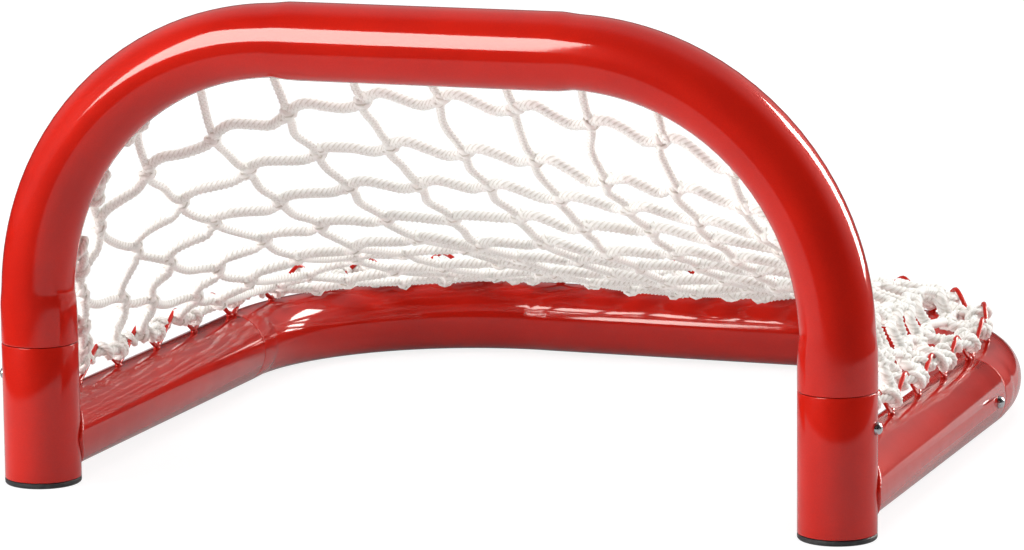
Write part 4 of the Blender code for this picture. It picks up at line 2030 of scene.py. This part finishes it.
    def knot_lines(self, grid: Grid) -> list[list[Vector]]:
        """The slanting coil of cord that makes each knot.

        Args:
            grid: Every knot of the net.

        Returns:
            The points of each coil.
        """
        lines = []
        for (column, row), place in grid.items():
            way = self.knot_way(grid, column, row)
            side = way.orthogonal().normalized()
            other = way.cross(side)
            size = 1 + self.knot_size.at(place)
            points = []
            for step in range(self.knot_steps + 1):
                share = step / self.knot_steps
                angle = math.tau * (self.knot_turns * share + self.knot_start.at(place))
                taper = self.knot_taper + (1 - 2 * self.knot_taper) * share
                swell = self.knot_coil * math.sin(math.pi * taper)
                coil = (side * math.cos(angle) + other * math.sin(angle)) * swell
                point = place + (way * self.knot_reach * (2 * share - 1) + coil) * size
                points.append(self.clear(point, self.knot_cord))
            lines.append(points)
        return lines

    def build(self, shop: Workshop) -> None:
        """Add the rows, the columns, the border, the knots and the lashing.

        Args:
            shop: Makes and keeps the pieces.
        """
        rows = self.row_bars
        columns = self.column_bars
        grid = self.grid()
        knots = self.knot_lines(grid)
        middle = (1.0,) * (self.knot_steps + 1 - 2 * len(self.knot_ends))
        radii = [(*self.knot_ends, *middle, *reversed(self.knot_ends))] * len(knots)
        for name, lines, cord, closed, shares in (
            ("net_rows", self.inner_cords(grid, rows), rows.cord, False, None),
            ("net_columns", self.inner_cords(grid, columns), columns.cord, False, None),
            ("net_border", [self.border_line()], self.cord, True, None),
            ("net_lashing", [self.lashing_line()], self.lash_cord, False, None),
            ("net_knots", knots, self.knot_cord, False, radii),
        ):
            sides = self.knot_sides if shares else self.sides
            shape = cord_shape(lines, cord / 2, sides, shares, closed, self.plait_depth)
            shop.add(name, "net", shape, Slot.NET_CORD, sharp=180.0)


# Studio


class Reach(Enum):
    """Which part of a surface's shine a lamp gives."""

    GLOSS = "gloss"
    MATT = "matt"


def way_to(azimuth: float, elevation: float) -> Vector:
    """The way out from the goal, by radians from the mouth's front and above the floor."""
    flat = math.cos(elevation)
    return Vector((math.sin(azimuth) * flat, -math.cos(azimuth) * flat, math.sin(elevation)))


@dataclass(frozen=True)
class SoftBox:
    """One soft lamp, given by where it stands round the goal, with its angles in degrees."""

    name: str
    azimuth: float
    elevation: float
    distance: float
    width: float
    height: float
    power: float
    seen: Reach
    colour: Colour = (1.0, 1.0, 1.0)

    def add(self, target: Vector) -> None:
        """Put up the lamp, facing the target.

        Args:
            target: The point that the lamp faces.
        """
        data = bpy.data.lights.new(self.name, "AREA")
        data.shape = "RECTANGLE"
        data.size = self.width
        data.size_y = self.height
        data.energy = self.power
        data.color = self.colour
        item = put(self.name, data)
        way = way_to(math.radians(self.azimuth), math.radians(self.elevation))
        item.location = target + way * self.distance
        item.rotation_mode = "QUATERNION"
        item.rotation_quaternion = (-way).to_track_quat("-Z", "Y")
        item.visible_diffuse = self.seen is Reach.MATT
        item.visible_glossy = self.seen is Reach.GLOSS
        item.visible_camera = False


@dataclass(frozen=True)
class Studio:
    """Pale floor, white surroundings, soft lamps and the camera."""

    azimuth: float = 0.345
    elevation: float = 0.182
    roll: float = -0.01
    distance: float = 2485.9 * MM
    target: tuple[float, float, float] = (0.0436, -0.19475, 0.1176)
    lamp_target: tuple[float, float, float] = (0.0, 0.0, 0.12)
    focal_pixels: float = 5200.0
    image_width: float = 1024.0
    sensor: float = 36.0
    clip: tuple[float, float] = (0.05, 50.0)
    floor_half: float = 8.0
    floor_tone: float = 0.85
    white_middle: tuple[float, float, float] = (0.10, 0.0, 0.0)
    white_edge: tuple[float, float] = (0.6072, 0.7128)
    white_level: float = 1.14
    ambient: float = 0.20
    dark_front: float = 0.02
    left_side: float = 0.18
    low_back: float = 0.03
    high_back: float = 0.50
    mirror_share: float = 0.34
    mirror_level: float = 0.60
    far_level: float = 0.05
    shadow_share: float = 0.25
    warm: Colour = (1.0, 0.96, 0.89)
    behind: tuple[float, float] = (-0.20, 0.40)
    back_rise: tuple[float, float] = (0.0, 0.45)
    left_turn: tuple[float, float] = (-0.85, -0.45)
    lamps: tuple[SoftBox, ...] = (
        SoftBox("front_window", -29.5, 23.0, 3.0, 1.35, 1.8, 108.0, Reach.GLOSS, warm),
        SoftBox("back_window", 139.0, 20.0, 2.0, 0.58, 1.4, 54.0, Reach.GLOSS, warm),
        SoftBox("left_fill", -55.0, 8.0, 2.4, 1.4, 1.4, 72.0, Reach.MATT),
        SoftBox("right_fill", 122.0, 30.0, 2.4, 1.4, 1.4, 34.0, Reach.MATT),
        SoftBox("top_fill", 0.0, 82.0, 2.2, 1.8, 1.8, 36.0, Reach.MATT),
    )

    def add_floor(self) -> None:
        """A pale floor that looks white and keeps the goal's shadow."""
        shape = bmesh.new()
        bmesh.ops.create_grid(shape, x_segments=1, y_segments=1, size=self.floor_half)
        floor = put("floor", mesh_of(shape, "floor"))
        material, sheet = new_sheet("pale_floor")
        floor.data.materials.append(material)
        rays = sheet.rays()
        mirrored = sheet.math("MAXIMUM", rays[Rays.GLOSSY], rays[Rays.TRANSMISSION])
        far = sheet.add("VectorMath", operation="DISTANCE")
        for socket, value in zip(far.inputs, (sheet.spot(), self.white_middle)):
            sheet.feed(socket, value)
        near = sheet.ramp(far.outputs["Value"], *self.white_edge, 1.0, self.far_level)
        reflected = sheet.math("MULTIPLY", near, self.mirror_level)
        tone = sheet.mix("FLOAT", mirrored, 1.0, reflected)
        matt = sheet.add("BsdfDiffuse", Color=sheet.math("MULTIPLY", self.floor_tone, tone))
        white = sheet.mix("FLOAT", rays[Rays.CAMERA], reflected, self.white_level)
        glow = sheet.add("Emission", Strength=white)
        seen = sheet.math("MULTIPLY", mirrored, self.mirror_share)
        open_share = sheet.math("MULTIPLY_ADD", near, -self.shadow_share, 1.0)
        share = sheet.mix("FLOAT", rays[Rays.CAMERA], seen, open_share)
        both = sheet.add("MixShader")
        for socket, value in zip(both.inputs, (share, matt.outputs[0], glow.outputs[0])):
            sheet.feed(socket, value)
        sheet.add("OutputMaterial", Surface=both.outputs["Shader"])

    def add_world(self) -> None:
        """White surroundings, and a plainer level for what they light."""
        world = bpy.data.worlds.new("studio")
        bpy.context.scene.world = world
        world.use_nodes = True
        sheet = NodeSheet(world.node_tree)
        rays = sheet.rays()
        way = sheet.add("TexCoord").outputs["Generated"]
        x, y, z = sheet.add("SeparateXYZ", Vector=way).outputs
        behind = sheet.ramp(y, *self.behind)
        rise = sheet.ramp(z, *self.back_rise, self.low_back, self.high_back)
        leftward = sheet.ramp(x, *self.left_turn, self.left_side, self.dark_front)
        mirrored = sheet.mix("FLOAT", behind, leftward, rise)
        level = sheet.mix("FLOAT", rays[Rays.GLOSSY], self.ambient, mirrored)
        for ray in (Rays.TRANSMISSION, Rays.CAMERA):
            level = sheet.mix("FLOAT", rays[ray], level, 1.0)
        back = sheet.add("Background", Color=(1.0, 1.0, 1.0), Strength=level)
        sheet.add("OutputWorld", Surface=back.outputs["Background"])

    def add_camera(self) -> None:
        """The camera at the photograph's place."""
        data = bpy.data.cameras.new("camera")
        data.sensor_width = self.sensor
        data.lens = self.sensor * self.focal_pixels / self.image_width
        data.clip_start, data.clip_end = self.clip
        camera = put("camera", data)
        back = way_to(self.azimuth, self.elevation)
        right = Vector((math.cos(self.azimuth), math.sin(self.azimuth), 0.0))
        up = back.cross(right)
        turned_right = right * math.cos(self.roll) + up * math.sin(self.roll)
        turned_up = up * math.cos(self.roll) - right * math.sin(self.roll)
        place = Vector(self.target) + back * self.distance
        camera.matrix_world = frame_at(place, turned_right, turned_up, back)
        bpy.context.scene.camera = camera

    def build(self) -> None:
        """Set up the studio."""
        self.add_floor()
        self.add_world()
        for lamp in self.lamps:
            lamp.add(Vector(self.lamp_target))
        self.add_camera()
        bpy.context.scene.view_settings.view_transform = "Standard"


def main() -> None:
    """Build the goal and its studio."""
    logging.basicConfig(level=logging.INFO, format="%(name)s: %(message)s")
    plan = Plan()
    shop = Workshop()
    buttons = SpringButtons(plan)
    TubeFrame(plan, buttons).build(shop)
    buttons.build(shop)
    lacing = Lacing(plan)
    lacing.build(shop)
    Net(plan, lacing).build(shop)
    Studio().build()


if __name__ == "__main__":
    main()
